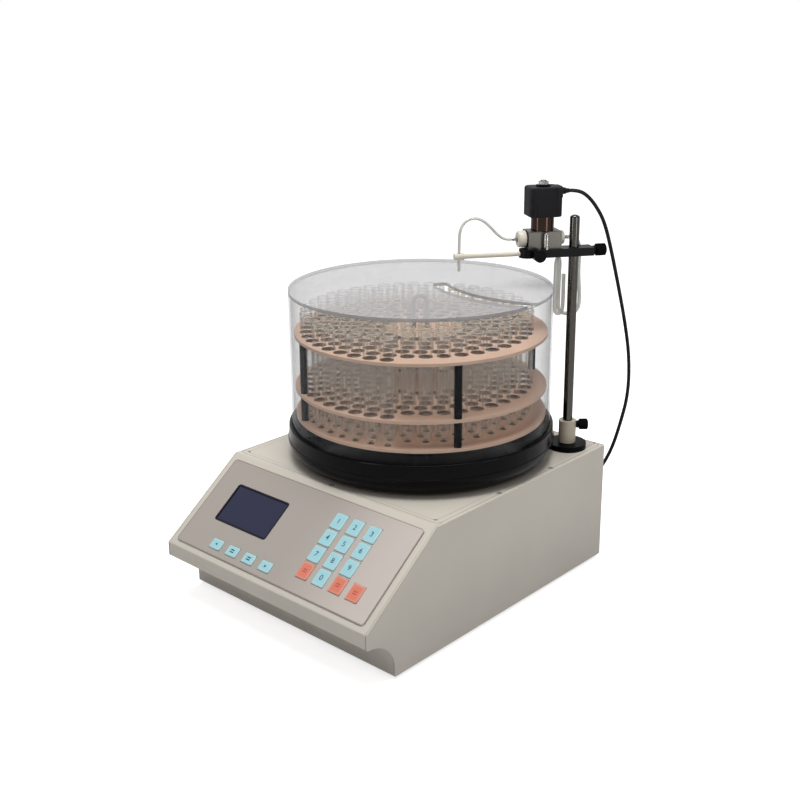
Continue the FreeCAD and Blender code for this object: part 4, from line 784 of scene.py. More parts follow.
def make_finishes(effects: Effects) -> dict[str, bpy.types.Material]:
    """Build every material.

    Args:
        effects: The shared shader groups.

    Returns:
        The materials by name.
    """
    finishes = [
        SheetPaint("case_paint", (216, 209, 197), roughness=0.42, grain=1300.0, contrast=0.12, relief=0.1,
                   specular=0.35),
        PanelFilm("overlay_film", (206, 197, 189), roughness=0.4, grain=2500.0, contrast=0.15, relief=0.04,
                  specular=0.3),
        ScreenGlass("screen_glass", (30, 31, 50), roughness=0.2, grain=600.0, contrast=0.2, relief=0.0,
                    specular=0.12),
        Finish("circuit_board", (34, 92, 52), roughness=0.5),
        Finish("rubber", (34, 33, 33), roughness=0.75, grain=700.0, relief=0.2, specular=0.3),
        Finish("dark_screw", (158, 152, 142), roughness=0.4),
        Finish("black_plastic", (10, 10, 12), roughness=0.42, grain=1500.0, contrast=0.4, relief=0.12,
               specular=0.04),
        Finish("coil_plastic", (24, 24, 30), roughness=0.6, grain=1800.0, contrast=0.4, relief=0.2,
               specular=0.15),
        Finish("black_gloss", (8, 8, 10), roughness=0.2, grain=500.0, contrast=0.3, relief=0.02, worn=0.05,
               specular=0.08),
        Finish("black_anodised", (13, 13, 15), roughness=0.36, grain=1600.0, contrast=0.3, relief=0.06,
               specular=0.12),
        KeyFinish("blue_key", (166, 216, 225), roughness=0.45, grain=900.0, contrast=0.2, relief=0.04,
                  specular=0.3),
        KeyFinish("red_key", (226, 130, 108), roughness=0.45, grain=900.0, contrast=0.2, relief=0.04,
                  specular=0.3, pale=(230, 166, 150)),
        Finish("key_ink", (40, 58, 84), roughness=0.5, specular=0.2),
        Finish("red_ink", (196, 96, 80), roughness=0.5, specular=0.2),
        # film_line colours the painted shadow line round the film, and the gaps at the ends of the fascia
        Finish("film_line", (136, 128, 120), roughness=0.5, specular=0.2),
        Finish("sheet_gap", (128, 122, 112), roughness=0.6, specular=0.1),
        Finish("screen_rim", (34, 33, 44), roughness=0.35, specular=0.15),
        ClearFinish("clear_cover", (62, 64, 68), roughness=0.05, worn=0.02, face=0.08, grazing=0.5, power=3.0,
                    edge=(150, 151, 156), rim_height=304.5),
        # the lid's pale veil is a painted reflection of the pale surroundings
        ClearLid("clear_lid", (174, 173, 175), roughness=0.12, worn=0.03, face=0.3, grazing=0.56, power=1.6,
                 edge=(136, 136, 142), edge_alpha=0.62, specular=0.25),
        # the tubes' pale veil is a painted reflection, and their pale rims a painted highlight
        ClearFinish("tube_glass", (217, 212, 203), roughness=0.05, worn=0.01, face=0.03, grazing=0.85,
                    power=3.0, edge=(228, 224, 212), edge_alpha=0.85, rim_height=283.7),
        RackPlastic("disc_plastic", (242, 206, 182), roughness=0.46, grain=1100.0, contrast=0.12, relief=0.04,
                    specular=0.3),
        MetalFinish("steel", (178, 176, 170), roughness=0.34, streaks=0.08),
        MetalFinish("machined_steel", (106, 104, 98), roughness=0.42, marks=1500.0, stretch=0.3, relief=0.15),
        MetalFinish("bright_steel", (160, 158, 154), roughness=0.24, streaks=0.05),
        MetalFinish("bearing_steel", (84, 82, 78), roughness=0.14, streaks=0.04),
        MetalFinish("core_steel", (62, 49, 43), roughness=0.14, streaks=0.04),
        MetalFinish("aluminium", (196, 196, 198), roughness=0.35),
        Finish("motor_case", (36, 36, 40), roughness=0.4),
        Finish("belt_rubber", (32, 31, 31), roughness=0.7, relief=0.2),
        Finish("ivory_plastic", (234, 228, 212), roughness=0.42, contrast=0.1, specular=0.3),
        Finish("handle_coat", (150, 149, 146), roughness=0.35, contrast=0.1),
        Finish("white_tube", (226, 226, 220), roughness=0.3, contrast=0.12, coat=0.2),
        ClearFinish("clear_hose", (238, 238, 230), roughness=0.22, worn=0.05, face=0.72, grazing=0.98,
                    power=2.0),
        Finish("cable_sheath", (16, 16, 18), roughness=0.42, grain=1200.0, contrast=0.4, relief=0.1,
               specular=0.2),
        Finish("beige_collar", (196, 186, 166), roughness=0.4, contrast=0.1),
    ]
    return {finish.name: finish.make(effects) for finish in finishes}


# ---------------------------------------------------------------- viewpoint and studio


@dataclass(frozen=True)
class Viewpoint:
    """Place and lens of the camera."""

    location: Point = (0.75306, -0.82031, 0.57208)
    turn: float = 43.363
    dip: float = 16.814
    roll: float = -0.758
    lens: float = 51.73
    shift: tuple[float, float] = (0.0265, -0.0471)
    sensor: float = 36.0
    nearest: float = 0.05

    def build(self) -> None:
        """Make the camera and set it on the scene."""
        turn, dip, roll = (math.radians(angle) for angle in (self.turn, self.dip, self.roll))
        ahead = Vector((-math.sin(turn) * math.cos(dip), math.cos(turn) * math.cos(dip), -math.sin(dip)))
        level = Vector((math.cos(turn), math.sin(turn), 0.0))
        upright = level.cross(ahead)
        right = math.cos(roll) * level + math.sin(roll) * upright
        above = -math.sin(roll) * level + math.cos(roll) * upright
        data = bpy.data.cameras.new("viewpoint")
        data.lens = self.lens
        data.sensor_width = self.sensor
        data.shift_x, data.shift_y = self.shift
        data.clip_start = self.nearest
        camera = bpy.data.objects.new("viewpoint", data)
        bpy.context.scene.collection.objects.link(camera)
        aimed = Matrix((right, above, -ahead)).transposed().to_4x4()
        camera.matrix_world = Matrix.Translation(self.location) @ aimed
        bpy.context.scene.camera = camera


@dataclass(frozen=True)
class Lamp:
    """A soft lamp, square unless it is given a height."""

    name: str
    location: Point
    target: Point
    size: float
    power: float
    tall: float = 0.0

    def build(self) -> bpy.types.Object:
        """Make the lamp and aim it.

        Returns:
            The lamp.
        """
        data = bpy.data.lights.new(self.name, "AREA")
        data.shape = "RECTANGLE"
        data.size = self.size
        data.size_y = self.tall or self.size
        data.energy = self.power
        lamp = bpy.data.objects.new(self.name, data)
        bpy.context.scene.collection.objects.link(lamp)
        lamp.location = self.location
        aim = Vector(self.target) - Vector(self.location)
        lamp.rotation_euler = aim.to_track_quat("-Z", "Y").to_euler()
        return lamp


@dataclass(frozen=True)
class Studio:
    """Pale floor, soft lamps and an even surround."""

    surround: float = 0.39
    bright_way: Point = (-0.66, 0.72, 0.25)
    bright_span: tuple[float, float] = (-0.6, 0.8)
    dim: float = 0.07
    bright: float = 0.9
    glass_layers: int = 96
    floor_half: float = 60.0
    paper: tuple[float, float] = (0.82, 0.86)
    paper_grain: float = 300.0
    returned: float = 0.64
    floor_seen: float = 0.7
    floor_mirrored: float = 0.1
    overhead: Lamp = Lamp("overhead_lamp", (0.15, -0.2, 2.8), (0.05, 0.0, 0.1), size=1.4, power=50.0)
    side: Lamp = Lamp("side_lamp", (2.0, 0.25, 0.9), (0.1, 0.0, 0.1), size=1.1, power=2.2)
    strips: tuple[Lamp, ...] = (
        Lamp("left_strip", (-0.35, -1.5, 0.7), (0.0, 0.0, 0.25), size=0.25, power=9.0, tall=1.4),
        Lamp("right_strip", (1.6, -0.15, 0.7), (0.0, 0.0, 0.25), size=0.25, power=9.0, tall=1.4))

    def build(self) -> None:
        """Make the surround, the floor and the lamps."""
        scene = bpy.context.scene
        scene.view_settings.view_transform = "Standard"
        scene.cycles.transparent_max_bounces = self.glass_layers
        self.make_world()
        self.make_floor()
        self.overhead.build()
        self.side.build()
        for strip in self.strips:
            strip.build().visible_diffuse = False

    def make_world(self) -> None:
        """Surround that is white to the eye and in glass, and shaded from bright to dim in reflections."""
        world = bpy.data.worlds.new("surround")
        bpy.context.scene.world = world
        world.use_nodes = True
        bench = Bench(world.node_tree)
        world.node_tree.nodes.clear()
        path = bench.add("ShaderNodeLightPath")
        direct = bench.math("MAXIMUM", path.outputs["Is Camera Ray"], path.outputs["Is Transmission Ray"])
        heading = bench.add("ShaderNodeTexCoord").outputs["Generated"]
        lean = bench.add("ShaderNodeVectorMath", {0: heading, 1: self.bright_way},
                         operation="DOT_PRODUCT").outputs["Value"]
        mirrored = bench.spread(lean, *self.bright_span, self.dim, self.bright)
        soft = bench.math("MULTIPLY", path.outputs["Is Glossy Ray"],
                          bench.math("SUBTRACT", mirrored, self.surround))
        level = bench.math("ADD", soft, self.surround)
        strength = bench.math("MAXIMUM", direct, level)
        glow = bench.add("ShaderNodeBackground", {"Color": grey(1.0), "Strength": strength})
        output = bench.add("ShaderNodeOutputWorld")
        bench.tree.links.new(glow.outputs[0], output.inputs[0])

    def make_floor(self) -> None:
        """Wide pale floor that stays white to the eye where nothing shades it."""
        half = self.floor_half
        corners = [(-half, -half, 0.0), (half, -half, 0.0), (half, half, 0.0), (-half, half, 0.0)]
        mesh = bpy.data.meshes.new("floor")
        mesh.from_pydata(corners, [], [(0, 1, 2, 3)])
        floor = bpy.data.objects.new("floor", mesh)
        bpy.context.scene.collection.objects.link(floor)
        material = bpy.data.materials.new("floor_paper")
        material.use_nodes = True
        bench = Bench(material.node_tree)
        shader = material.node_tree.nodes["Principled BSDF"]
        fibres = bench.noise(bench.here(), self.paper_grain, 2.0)
        paper = bench.mix(fibres, grey(self.paper[0]), grey(self.paper[1]))
        path = bench.add("ShaderNodeLightPath")
        returned = bench.mix(path.outputs["Is Diffuse Ray"], paper, grey(self.returned))
        bench.tree.links.new(returned, shader.inputs["Base Color"])
        shader.inputs["Roughness"].default_value = 0.9
        shader.inputs["Specular IOR Level"].default_value = 0.0
        seen = bench.math("MAXIMUM", path.outputs["Is Camera Ray"], path.outputs["Is Transmission Ray"])
        mirrored = bench.math("MULTIPLY", path.outputs["Is Glossy Ray"], self.floor_mirrored)
        shader.inputs["Emission Color"].default_value = grey(1.0)
        bench.tree.links.new(bench.math("ADD", bench.math("MULTIPLY", seen, self.floor_seen), mirrored),
                             shader.inputs["Emission Strength"])
        mesh.materials.append(material)


# ---------------------------------------------------------------- cords


@dataclass(frozen=True)
class Cord:
    """A tube or cable along given points, in millimetres of its own frame."""

    name: str
    route: tuple[Point, ...]
    place: Matrix
    radius: float
    sides: int = 14

    def line(self) -> list[Vector]:
        """Smooth line that the route's points control.

        Returns:
            Its points in the model's frame, in metres.
        """
        data = bpy.data.curves.new(f"{self.name}_line", "CURVE")
        data.dimensions = "3D"
        data.resolution_u = 10
        spline = data.splines.new("NURBS")
        spline.points.add(len(self.route) - 1)
        for spot, point in zip(self.route, spline.points):
            point.co = (*(self.place @ Vector(spot)), 1.0)
        spline.order_u = 3
        spline.use_endpoint_u = True
        holder = bpy.data.objects.new(f"{self.name}_line", data)
        bpy.context.scene.collection.objects.link(holder)
        mesh = evaluated_mesh(holder)
        points = [vertex.co.copy() for vertex in mesh.vertices]
        bpy.data.objects.remove(holder)
        return points

    def tube(self, name: str, points: Sequence[Vector], finish: bpy.types.Material) -> bpy.types.Object:
        """Skin a round tube along points.

        Args:
            name: Name of the piece.
            points: Centre line in the model's frame.
            finish: Its material.

        Returns:
            The tube, closed at both ends.
        """
        work = bmesh.new()
        ahead = (points[1] - points[0]).normalized()
        side = ahead.orthogonal().normalized()
        rings = []
        for index, point in enumerate(points):
            before = points[max(0, index - 1)]
            after = points[min(len(points) - 1, index + 1)]
            heading = (after - before).normalized()
            side = ahead.rotation_difference(heading) @ side
            ahead = heading
            across = ahead.cross(side).normalized()
            rings.append([point + self.radius * MM * (math.cos(turn) * side + math.sin(turn) * across)
                          for turn in (2 * math.pi * step / self.sides for step in range(self.sides))])
        loft(work, rings)
        return piece(name, work, Matrix.Identity(4), [finish], smooth=50.0)


@dataclass(frozen=True)
class Tubing:
    """The valve's cable, the drop tube and the folded supply hose."""

    cable: Cord = Cord("valve_cable", (
        (105.38, 336.83, 398), (109.6, 342.46, 398), (115.2, 350.6, 394.2), (119.8, 361.5, 383),
        (123.8, 374.5, 364), (124.9, 388, 333), (127.7, 400, 294.7), (132.2, 410, 252.8),
        (136.3, 416, 212.6), (135.5, 419, 170), (128, 418, 134), (122, 414, 106), (117, 406, 88),
        (115, 394, 80), (115, 382, 80)), HOUSING, 1.9)
    drop: Cord = Cord("drop_tube", (
        (63.8, -6, 351.3), (70.5, -6, 351.3), (78.5, -5.2, 356.8), (86.5, -4.3, 365.5),
        (94.5, -3.2, 372.6), (104, -2.2, 375.4), (112.6, -1.1, 372.4), (118.3, -0.2, 364.6),
        (119, 0, 349), (119, 0, 322.9)), ARM, 1.5)
    hose: Cord = Cord("inlet_hose", (
        (6.7, -6, 351.3), (4.2, -6, 351.3), (-3.6, -10.4, 351), (-10, -13.4, 344), (-11, -13.6, 330),
        (-10.6, -13.4, 310), (-13, -13.4, 290), (-12, -13.4, 269), (9.4, -15, 269), (9.43, -15, 289),
        (9.3, -15, 309), (9, -14.6, 328.5), (15.5, -8.4, 328.5), (15.7, -8.2, 309), (15.6, -8.3, 289),
        (15.5, -8.4, 271), (5.7, -11.5, 270.5), (5.5, -11.7, 290), (5.7, -11.5, 312)), ARM, 2.0)
    split_height: float = 0.30
    split_margin: float = 0.01

    def build(self, finishes: dict[str, bpy.types.Material]) -> None:
        """Make the three cords.

        Args:
            finishes: The materials by name.
        """
        self.build_cable(finishes["cable_sheath"])
        line = self.drop.line()
        tube = self.drop.tube("drop_tubing", line, finishes["white_tube"])
        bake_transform(tube)
        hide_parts("drop_tube")
        self.declare(tube, line, self.drop, "limp", "hanging", "bare")
        line = self.hose.line()
        tube = self.hose.tube("supply_hose", line, finishes["clear_hose"])
        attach(tube, Body.ARM.value)
        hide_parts("inlet_hose")
        self.declare(tube, line, self.hose, "limp", "hanging", "bare")

    def build_cable(self, finish: bpy.types.Material) -> None:
        """Make the cable in two lengths, one for each joint that it crosses.

        Args:
            finish: Its material.
        """
        line = self.cable.line()
        split = min(range(len(line)), key=lambda index: abs(line[index].z - self.split_height))
        upper, lower = line[:split + 1], line[split:]
        high = self.cable.tube("valve_cable_upper", upper, finish)
        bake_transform(high)
        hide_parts("valve_cable")
        low = self.cable.tube("valve_cable_lower", lower, finish)
        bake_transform(low)
        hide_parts("valve_cable")
        self.declare(high, upper, self.cable, "medium", "hanging", "object")
        self.declare(low, lower, self.cable, "medium", "hanging", "object")

    @staticmethod
    def declare(made: bpy.types.Object, line: Sequence[Vector], cord: Cord, stiffness: str, lay: str,
                far_end: str) -> None:
        """Take no step with a length of cord.

        Args:
            made: The piece; not used.
            line: Its centre line; not used.
            cord: Cord that it is a length of; not used.
            stiffness: How stiff it is; not used.
            lay: How it lies; not used.
            far_end: What its far end is; not used.
        """


# ---------------------------------------------------------------- geometry node trees

TURN_SEED = 7


@dataclass(frozen=True)
class Spot:
    """Where one copy of a shape goes, the way its z axis faces and the way its y axis lies."""

    place: Vector
    facing: Vector = Vector((0.0, 0.0, 1.0))
    lying: Vector = Vector((0.0, 1.0, 0.0))


class Scatter:
    """A geometry node tree that sets copies of one shape on the points of a mesh."""

    def __init__(self, name: str) -> None:
        """Build the tree with its named inputs.

        Args:
            name: Name of the tree.
        """
        self.tree = bpy.data.node_groups.new(name, "GeometryNodeTree")
        face = self.tree.interface
        face.new_socket("Geometry", in_out="INPUT", socket_type="NodeSocketGeometry")
        self.shape = face.new_socket("Shape", in_out="INPUT", socket_type="NodeSocketObject")
        self.finish = face.new_socket("Finish", in_out="INPUT", socket_type="NodeSocketMaterial")
        self.spin = face.new_socket("Spin", in_out="INPUT", socket_type="NodeSocketFloat")
        self.seed = face.new_socket("Seed", in_out="INPUT", socket_type="NodeSocketInt")
        face.new_socket("Geometry", in_out="OUTPUT", socket_type="NodeSocketGeometry")
        bench = Bench(self.tree)
        given = bench.add("NodeGroupInput")
        shape = bench.add("GeometryNodeObjectInfo", {"Object": given.outputs["Shape"]})
        facing = bench.add("GeometryNodeInputNamedAttribute", {"Name": "facing"}, data_type="FLOAT_VECTOR")
        lying = bench.add("GeometryNodeInputNamedAttribute", {"Name": "lying"}, data_type="FLOAT_VECTOR")
        leaning = bench.add("FunctionNodeAxesToRotation", {
            "Primary Axis": facing.outputs["Attribute"], "Secondary Axis": lying.outputs["Attribute"],
        }, primary_axis="Z", secondary_axis="Y")
        chance = bench.add("FunctionNodeRandomValue",
                           {3: given.outputs["Spin"], "Seed": given.outputs["Seed"]}, data_type="FLOAT")
        turned = bench.add("FunctionNodeRotateRotation",
                           {"Rotation": leaning.outputs["Rotation"],
                            "Rotate By": self.about_z(bench, chance.outputs[1])}, rotation_space="LOCAL")
        copies = bench.add("GeometryNodeInstanceOnPoints", {
            "Points": given.outputs["Geometry"], "Instance": shape.outputs["Geometry"],
            "Rotation": turned.outputs["Rotation"]})
        real = bench.add("GeometryNodeRealizeInstances", {"Geometry": copies.outputs["Instances"]})
        painted = bench.add("GeometryNodeSetMaterial",
                            {"Geometry": real.outputs["Geometry"], "Material": given.outputs["Finish"]})
        result = bench.add("NodeGroupOutput")
        self.tree.links.new(painted.outputs["Geometry"], result.inputs[0])

    @staticmethod
    def about_z(bench: Bench, angle: bpy.types.NodeSocket) -> bpy.types.NodeSocket:
        """Rotation about the copy's own axis."""
        return bench.add("FunctionNodeAxisAngleToRotation",
                         {"Axis": (0.0, 0.0, 1.0), "Angle": angle}).outputs["Rotation"]

    def grow(self, name: str, shape: bpy.types.Mesh, spots: Sequence[Spot],
             finish: bpy.types.Material, spin: float, smooth: float = 40.0) -> bpy.types.Object:
        """Set copies of a shape and turn them into one plain mesh.

        Args:
            name: Name of the piece.
            shape: Mesh of one copy, in metres about its own origin.
            spots: Place of each copy in the model's frame.
            finish: Material of the copies.
            spin: Largest random turn of a copy about its own axis, in radians.
            smooth: Angle in degrees below which edges are shaded smooth.

        Returns:
            The finished piece.
        """
        pattern = bpy.data.objects.new(f"{name}_pattern", shape)
        points = bpy.data.meshes.new(f"{name}_points")
        points.from_pydata([tuple(spot.place) for spot in spots], [], [])
        for label in ("facing", "lying"):
            direction = points.attributes.new(label, "FLOAT_VECTOR", "POINT")
            direction.data.foreach_set("vector", [part for spot in spots for part in getattr(spot, label)])
        holder = bpy.data.objects.new(f"{name}_points", points)
        scene_objects = bpy.context.scene.collection.objects
        scene_objects.link(pattern)
        scene_objects.link(holder)
        modifier = holder.modifiers.new("copies", "NODES")
        modifier.node_group = self.tree
        modifier[self.shape.identifier] = pattern
        modifier[self.finish.identifier] = finish
        modifier[self.spin.identifier] = spin
        modifier[self.seed.identifier] = TURN_SEED
        mesh = evaluated_mesh(holder)
        mesh.name = name
        holder.modifiers.clear()
        bpy.data.objects.remove(holder)
        bpy.data.objects.remove(pattern)
        mesh.materials.clear()
        return dressed_object(name, mesh, [finish], smooth)


def plain_mesh(name: str, work: bmesh.types.BMesh) -> bpy.types.Mesh:
    """Turn work in millimetres into a mesh in metres, with its faces outwards.

    Args:
        name: Name of the mesh.
        work: Mesh work; it is freed.

    Returns:
        The mesh.
    """
    bmesh.ops.recalc_face_normals(work, faces=work.faces)
    work.transform(Matrix.Scale(MM, 4))
    mesh = bpy.data.meshes.new(name)
    work.to_mesh(mesh)
    work.free()
    return mesh


# ---------------------------------------------------------------- sub-assemblies


@dataclass(frozen=True)
class TubeRack:
    """The rack's tubes, on a spiral that winds inwards."""

    count: int = 160
    radius: float = 6.5
    wall: float = 1.0
    length: float = 107.0
    low: float = 173.43
    spacing: float = 17.3
    first_radius: float = 120.0
    first_angle: float = -64.0
    pitch: float = 14.9
    sides: int = 16
    spin: float = math.pi / 8

    def places(self) -> list[Vector]:
        """Set out the spiral.

        Returns:
            Feet of the tubes, in millimetres about the turntable's axis.
        """
        reach = self.first_radius
        turn = math.radians(self.first_angle)
        feet = []
        for _tube in range(self.count):
            feet.append(Vector((reach * math.cos(turn), reach * math.sin(turn), self.low)))
            step = 2 * math.asin(self.spacing / (2 * reach))
            turn -= step
            reach -= self.pitch * step / (2 * math.pi)
        return feet

    def tube(self) -> bpy.types.Mesh:
        """One tube with a round foot, its inner wall and a rolled rim.

        Returns:
            The mesh, standing on the origin.
        """
        work = bmesh.new()
        bore = self.radius - self.wall
        slant = math.sqrt(0.5)
        lathe(work, [
            (0.0, 0.0), (self.radius * slant, self.radius * (1 - slant)), (self.radius, self.radius),
            (self.radius, self.length - 0.6), (self.radius - 0.2, self.length), (bore, self.length),
            (bore, self.radius), (0.0, self.wall)], self.sides)
        return plain_mesh("tube_pattern", work)

    def build(self, scatter: Scatter, finishes: dict[str, bpy.types.Material]) -> None:
        """Set the tubes in the rack.

        Args:
            scatter: Tree that sets the copies.
            finishes: The materials by name.
        """
        spots = [Spot(TABLE @ place) for place in self.places()]
        tubes = scatter.grow("rack_tubes", self.tube(), spots, finishes["tube_glass"], self.spin)
        settle(tubes, Body.TURNTABLE, "tube_glass", "sample_tubes")


@dataclass(frozen=True)
class CaseScrews:
    """Countersunk cross-head screws in the deck and the rear sheet."""

    head_radius: float = 2.9
    head_depth: float = 1.4
    shank_radius: float = 1.4
    shank_length: float = 6.9
    cross_reach: float = 1.7
    cross_half: float = 0.35
    cross_depth: float = 1.0
    cross_taper: float = 0.8
    seat: float = 0.05
    sides: int = 28
    spin: float = 1.5
    deck: tuple[tuple[float, float], ...] = (
        (0.0, 98.25), (-135.25, 191.0), (-135.25, 276.0), (135.25, 191.0), (135.25, 276.0))
    rear: tuple[tuple[float, float], ...] = (
        (-126.0, 14.0), (-126.0, 113.0), (126.0, 14.0), (126.0, 113.0))
    rear_plane: float = 368.0

    def screw(self) -> bpy.types.Mesh:
        """One screw pointing down from the origin, with a cross recess in its head.

        Returns:
            The mesh.
        """
        work = bmesh.new()
        sides = self.sides
        head, radius = self.head_radius, self.shank_radius
        rim = [work.verts.new((head * math.cos(turn), head * math.sin(turn), -self.seat))
               for turn in (2 * math.pi * side / sides for side in range(sides))]
        corners = []
        for quarter in range(4):
            spin = Matrix.Rotation(quarter * math.pi / 2, 4, "Z")
            for x, y in ((self.cross_half, self.cross_half), (self.cross_half, self.cross_reach),
                         (-self.cross_half, self.cross_reach)):
                corners.append(spin @ Vector((x, y, -self.seat)))
        top = [work.verts.new(corner) for corner in corners]
        sunk = Vector((0.0, 0.0, self.cross_depth))
        floor = [work.verts.new(corner * self.cross_taper - sunk) for corner in corners]
        edges = []
        for loop in (rim, top):
            edges += [work.edges.new((loop[i], loop[(i + 1) % len(loop)])) for i in range(len(loop))]
        bmesh.ops.triangle_fill(work, edges=edges, use_beauty=True, normal=Vector((0.0, 0.0, 1.0)))
        for index in range(len(top)):
            after = (index + 1) % len(top)
            work.faces.new([top[index], top[after], floor[after], floor[index]])
        work.faces.new(floor)
        under = [[work.verts.new((radius * vert.co.x / head, radius * vert.co.y / head, up)) for vert in rim]
                 for up in (-self.head_depth, -self.shank_length)]
        for low, high in zip([rim, under[0]], under):
            for side in range(sides):
                after = (side + 1) % sides
                work.faces.new([low[side], low[after], high[after], high[side]])
        work.faces.new(under[1])
        return plain_mesh("screw_pattern", work)

    def build(self, scatter: Scatter, finishes: dict[str, bpy.types.Material]) -> None:
        """Set the screws in the case.

        Args:
            scatter: Tree that sets the copies.
            finishes: The materials by name.
        """
        spots = [Spot(HOUSING @ Vector((x, y, BODY_HEIGHT))) for x, y in self.deck]
        back, up = Vector((0.0, 1.0, 0.0)), Vector((0.0, 0.0, 1.0))
        spots += [Spot(HOUSING @ Vector((x, self.rear_plane, z)), back, up) for x, z in self.rear]
        screws = scatter.grow("cross_screws", self.screw(), spots, finishes["dark_screw"], self.spin)
        settle(screws, Body.HOUSING, "dark_screw", "case_screws")


class Mark(Enum):
    """Plain marks on the keys that carry no digit."""

    LEFT = "left"
    BARS = "bars"
    RIGHT = "right"


@dataclass(frozen=True)
class Keypad:
    """Key caps on the sloping panel, with digits and plain marks."""

    width: float = 14.5
    height: float = 17.0
    first: tuple[float, float] = (39.6, 30.0)
    pitch: tuple[float, float] = (21.6, 18.9)
    function_size: tuple[float, float] = (15.0, 11.0)
    function_first: tuple[float, float] = (-77.8, 18.0)
    function_pitch: float = 24.1
    corner: float = 1.5
    foot: float = -0.2
    top: float = 2.4
    digit_height: float = 7.5
    digit_depth: float = 0.02
    ink_rise: float = 0.04
    ink_root: float = -0.1
    bar_half: float = 2.4
    bar_thick: float = 0.55
    bar_rises: tuple[float, float] = (1.3, -1.1)
    arrow_tip: float = 1.4
    arrow_back: float = 1.0
    arrow_half: float = 1.5

    def cap(self, size: tuple[float, float], middle: tuple[float, float]) -> bmesh.types.BMesh:
        """Cap with a rounded border and a shallow dish, with its border marked.

        Args:
            size: Width and height.
            middle: Its centre on the panel.

        Returns:
            The mesh in the panel's frame.
        """
        work = bmesh.new()
        border = work.verts.layers.float.new("border")
        steps = ((0.0, self.foot, 1.0), (0.0, self.top - 0.9, 1.0), (0.15, self.top - 0.4, 0.9),
                 (0.6, self.top - 0.06, 0.75), (1.3, self.top, 0.35), (2.6, self.top - 0.03, 0.0),
                 (4.0, self.top - 0.06, 0.0))
        rings = []
        for inset, rise, _share in steps:
            corner = max(0.5, self.corner - inset / 3)
            ring = rounded_rectangle(size[0] / 2 - inset, size[1] / 2 - inset, corner, rise)
            rings.append([point + Vector((*middle, 0.0)) for point in ring])
        made = loft(work, rings)
        for ring, (_inset, _rise, share) in zip(made, steps):
            for vert in ring:
                vert[border] = share
        return work

    def digit(self, work: bmesh.types.BMesh, text: str, middle: tuple[float, float]) -> None:
        """Add a digit's flat faces to a cap.

        Args:
            work: Mesh of the cap.
            text: The digit.
            middle: Its centre on the panel.
        """
        data = bpy.data.curves.new("digit", "FONT")
        data.body = text
        data.size = self.digit_height
        data.align_x = "CENTER"
        data.align_y = "CENTER"
        data.resolution_u = 6
        data.extrude = self.digit_depth
        holder = bpy.data.objects.new("digit", data)
        bpy.context.scene.collection.objects.link(holder)
        mesh = evaluated_mesh(holder)
        bpy.data.objects.remove(holder)
        mesh.transform(Matrix.Translation((*middle, self.top + self.ink_rise)))
        self.join(work, mesh)

    @staticmethod
    def join(work: bmesh.types.BMesh, mesh: bpy.types.Mesh) -> None:
        """Join a mesh to the work as ink.

        Args:
            work: Mesh of the cap.
            mesh: Mesh that is added in the ink's material slot.
        """
        before = len(work.faces)
        work.from_mesh(mesh)
        work.faces.ensure_lookup_table()
        for face in work.faces[before:]:
            face.material_index = 1

    def bar(self, work: bmesh.types.BMesh, corners: Sequence[tuple[float, float]]) -> None:
        """Add a flat mark to a cap.

        Args:
            work: Mesh of the cap.
            corners: Corners of the mark on the panel, anticlockwise.
        """
        low, high = ([Vector((x, y, self.top + rise)) for x, y in corners]
                     for rise in (self.ink_root, self.ink_rise))
        loft(work, [low, high], finish=1)

    def mark(self, work: bmesh.types.BMesh, mark: Mark, middle: tuple[float, float]) -> None:
        """Add a plain mark to a cap.

        Args:
            work: Mesh of the cap.
            mark: The mark.
            middle: Its centre on the panel.
        """
        x, y = middle
        half, thick = self.bar_half, self.bar_thick
        if mark is Mark.BARS:
            for rise in self.bar_rises:
                self.bar(work, [(x - half, y + rise - thick), (x + half, y + rise - thick),
                                (x + half, y + rise + thick), (x - half, y + rise + thick)])
            return
        way = 1 if mark is Mark.RIGHT else -1
        back = x - way * self.arrow_back
        corners = [(x + way * self.arrow_tip, y), (back, y + self.arrow_half), (back, y - self.arrow_half)]
        self.bar(work, corners if way > 0 else list(reversed(corners)))

    def build(self, finishes: dict[str, bpy.types.Material]) -> None:
        """Make every cap.

        Args:
            finishes: The materials by name.
        """
        rows = (("1", "2", "3"), ("4", "5", "6"), ("7", "8", "9"),
                ("red_left", "0", "red_middle", "red_right"))
        for row, labels in enumerate(rows):
            for column, label in enumerate(labels):
                middle = (self.first[0] + column * self.pitch[0],
                          self.first[1] + (len(rows) - 1 - row) * self.pitch[1])
                work = self.cap((self.width, self.height), middle)
                red = label.startswith("red")
                if red:
                    self.mark(work, Mark.BARS, middle)
                else:
                    self.digit(work, label, middle)
                self.finish_cap(f"key_{label}", work, "red_key" if red else "blue_key",
                                "red_ink" if red else "key_ink", finishes)
        for column, mark in enumerate((Mark.LEFT, Mark.BARS, Mark.BARS, Mark.RIGHT)):
            middle = (self.function_first[0] + column * self.function_pitch, self.function_first[1])
            work = self.cap(self.function_size, middle)
            self.mark(work, mark, middle)
            self.finish_cap(f"key_function_{column + 1}", work, "blue_key", "key_ink", finishes)

    @staticmethod
    def finish_cap(node: str, work: bmesh.types.BMesh, slot: str, ink: str,
                   finishes: dict[str, bpy.types.Material]) -> None:
        """Turn a cap into a piece that rides on its own key.

        Args:
            node: CAD node that it stands for, whose body has the same name.
            work: Mesh of the cap; it is freed.
            slot: Name of its material, which is also its slot of the record.
            ink: Name of its marks' material.
            finishes: The materials by name.
        """
        made = piece(f"{node}_cap", work, SLOPE, [finishes[slot], finishes[ink]], smooth=50.0)
        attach(made, node)
        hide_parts(node)
        LOG.info("%s rides on %s", made.name, node)


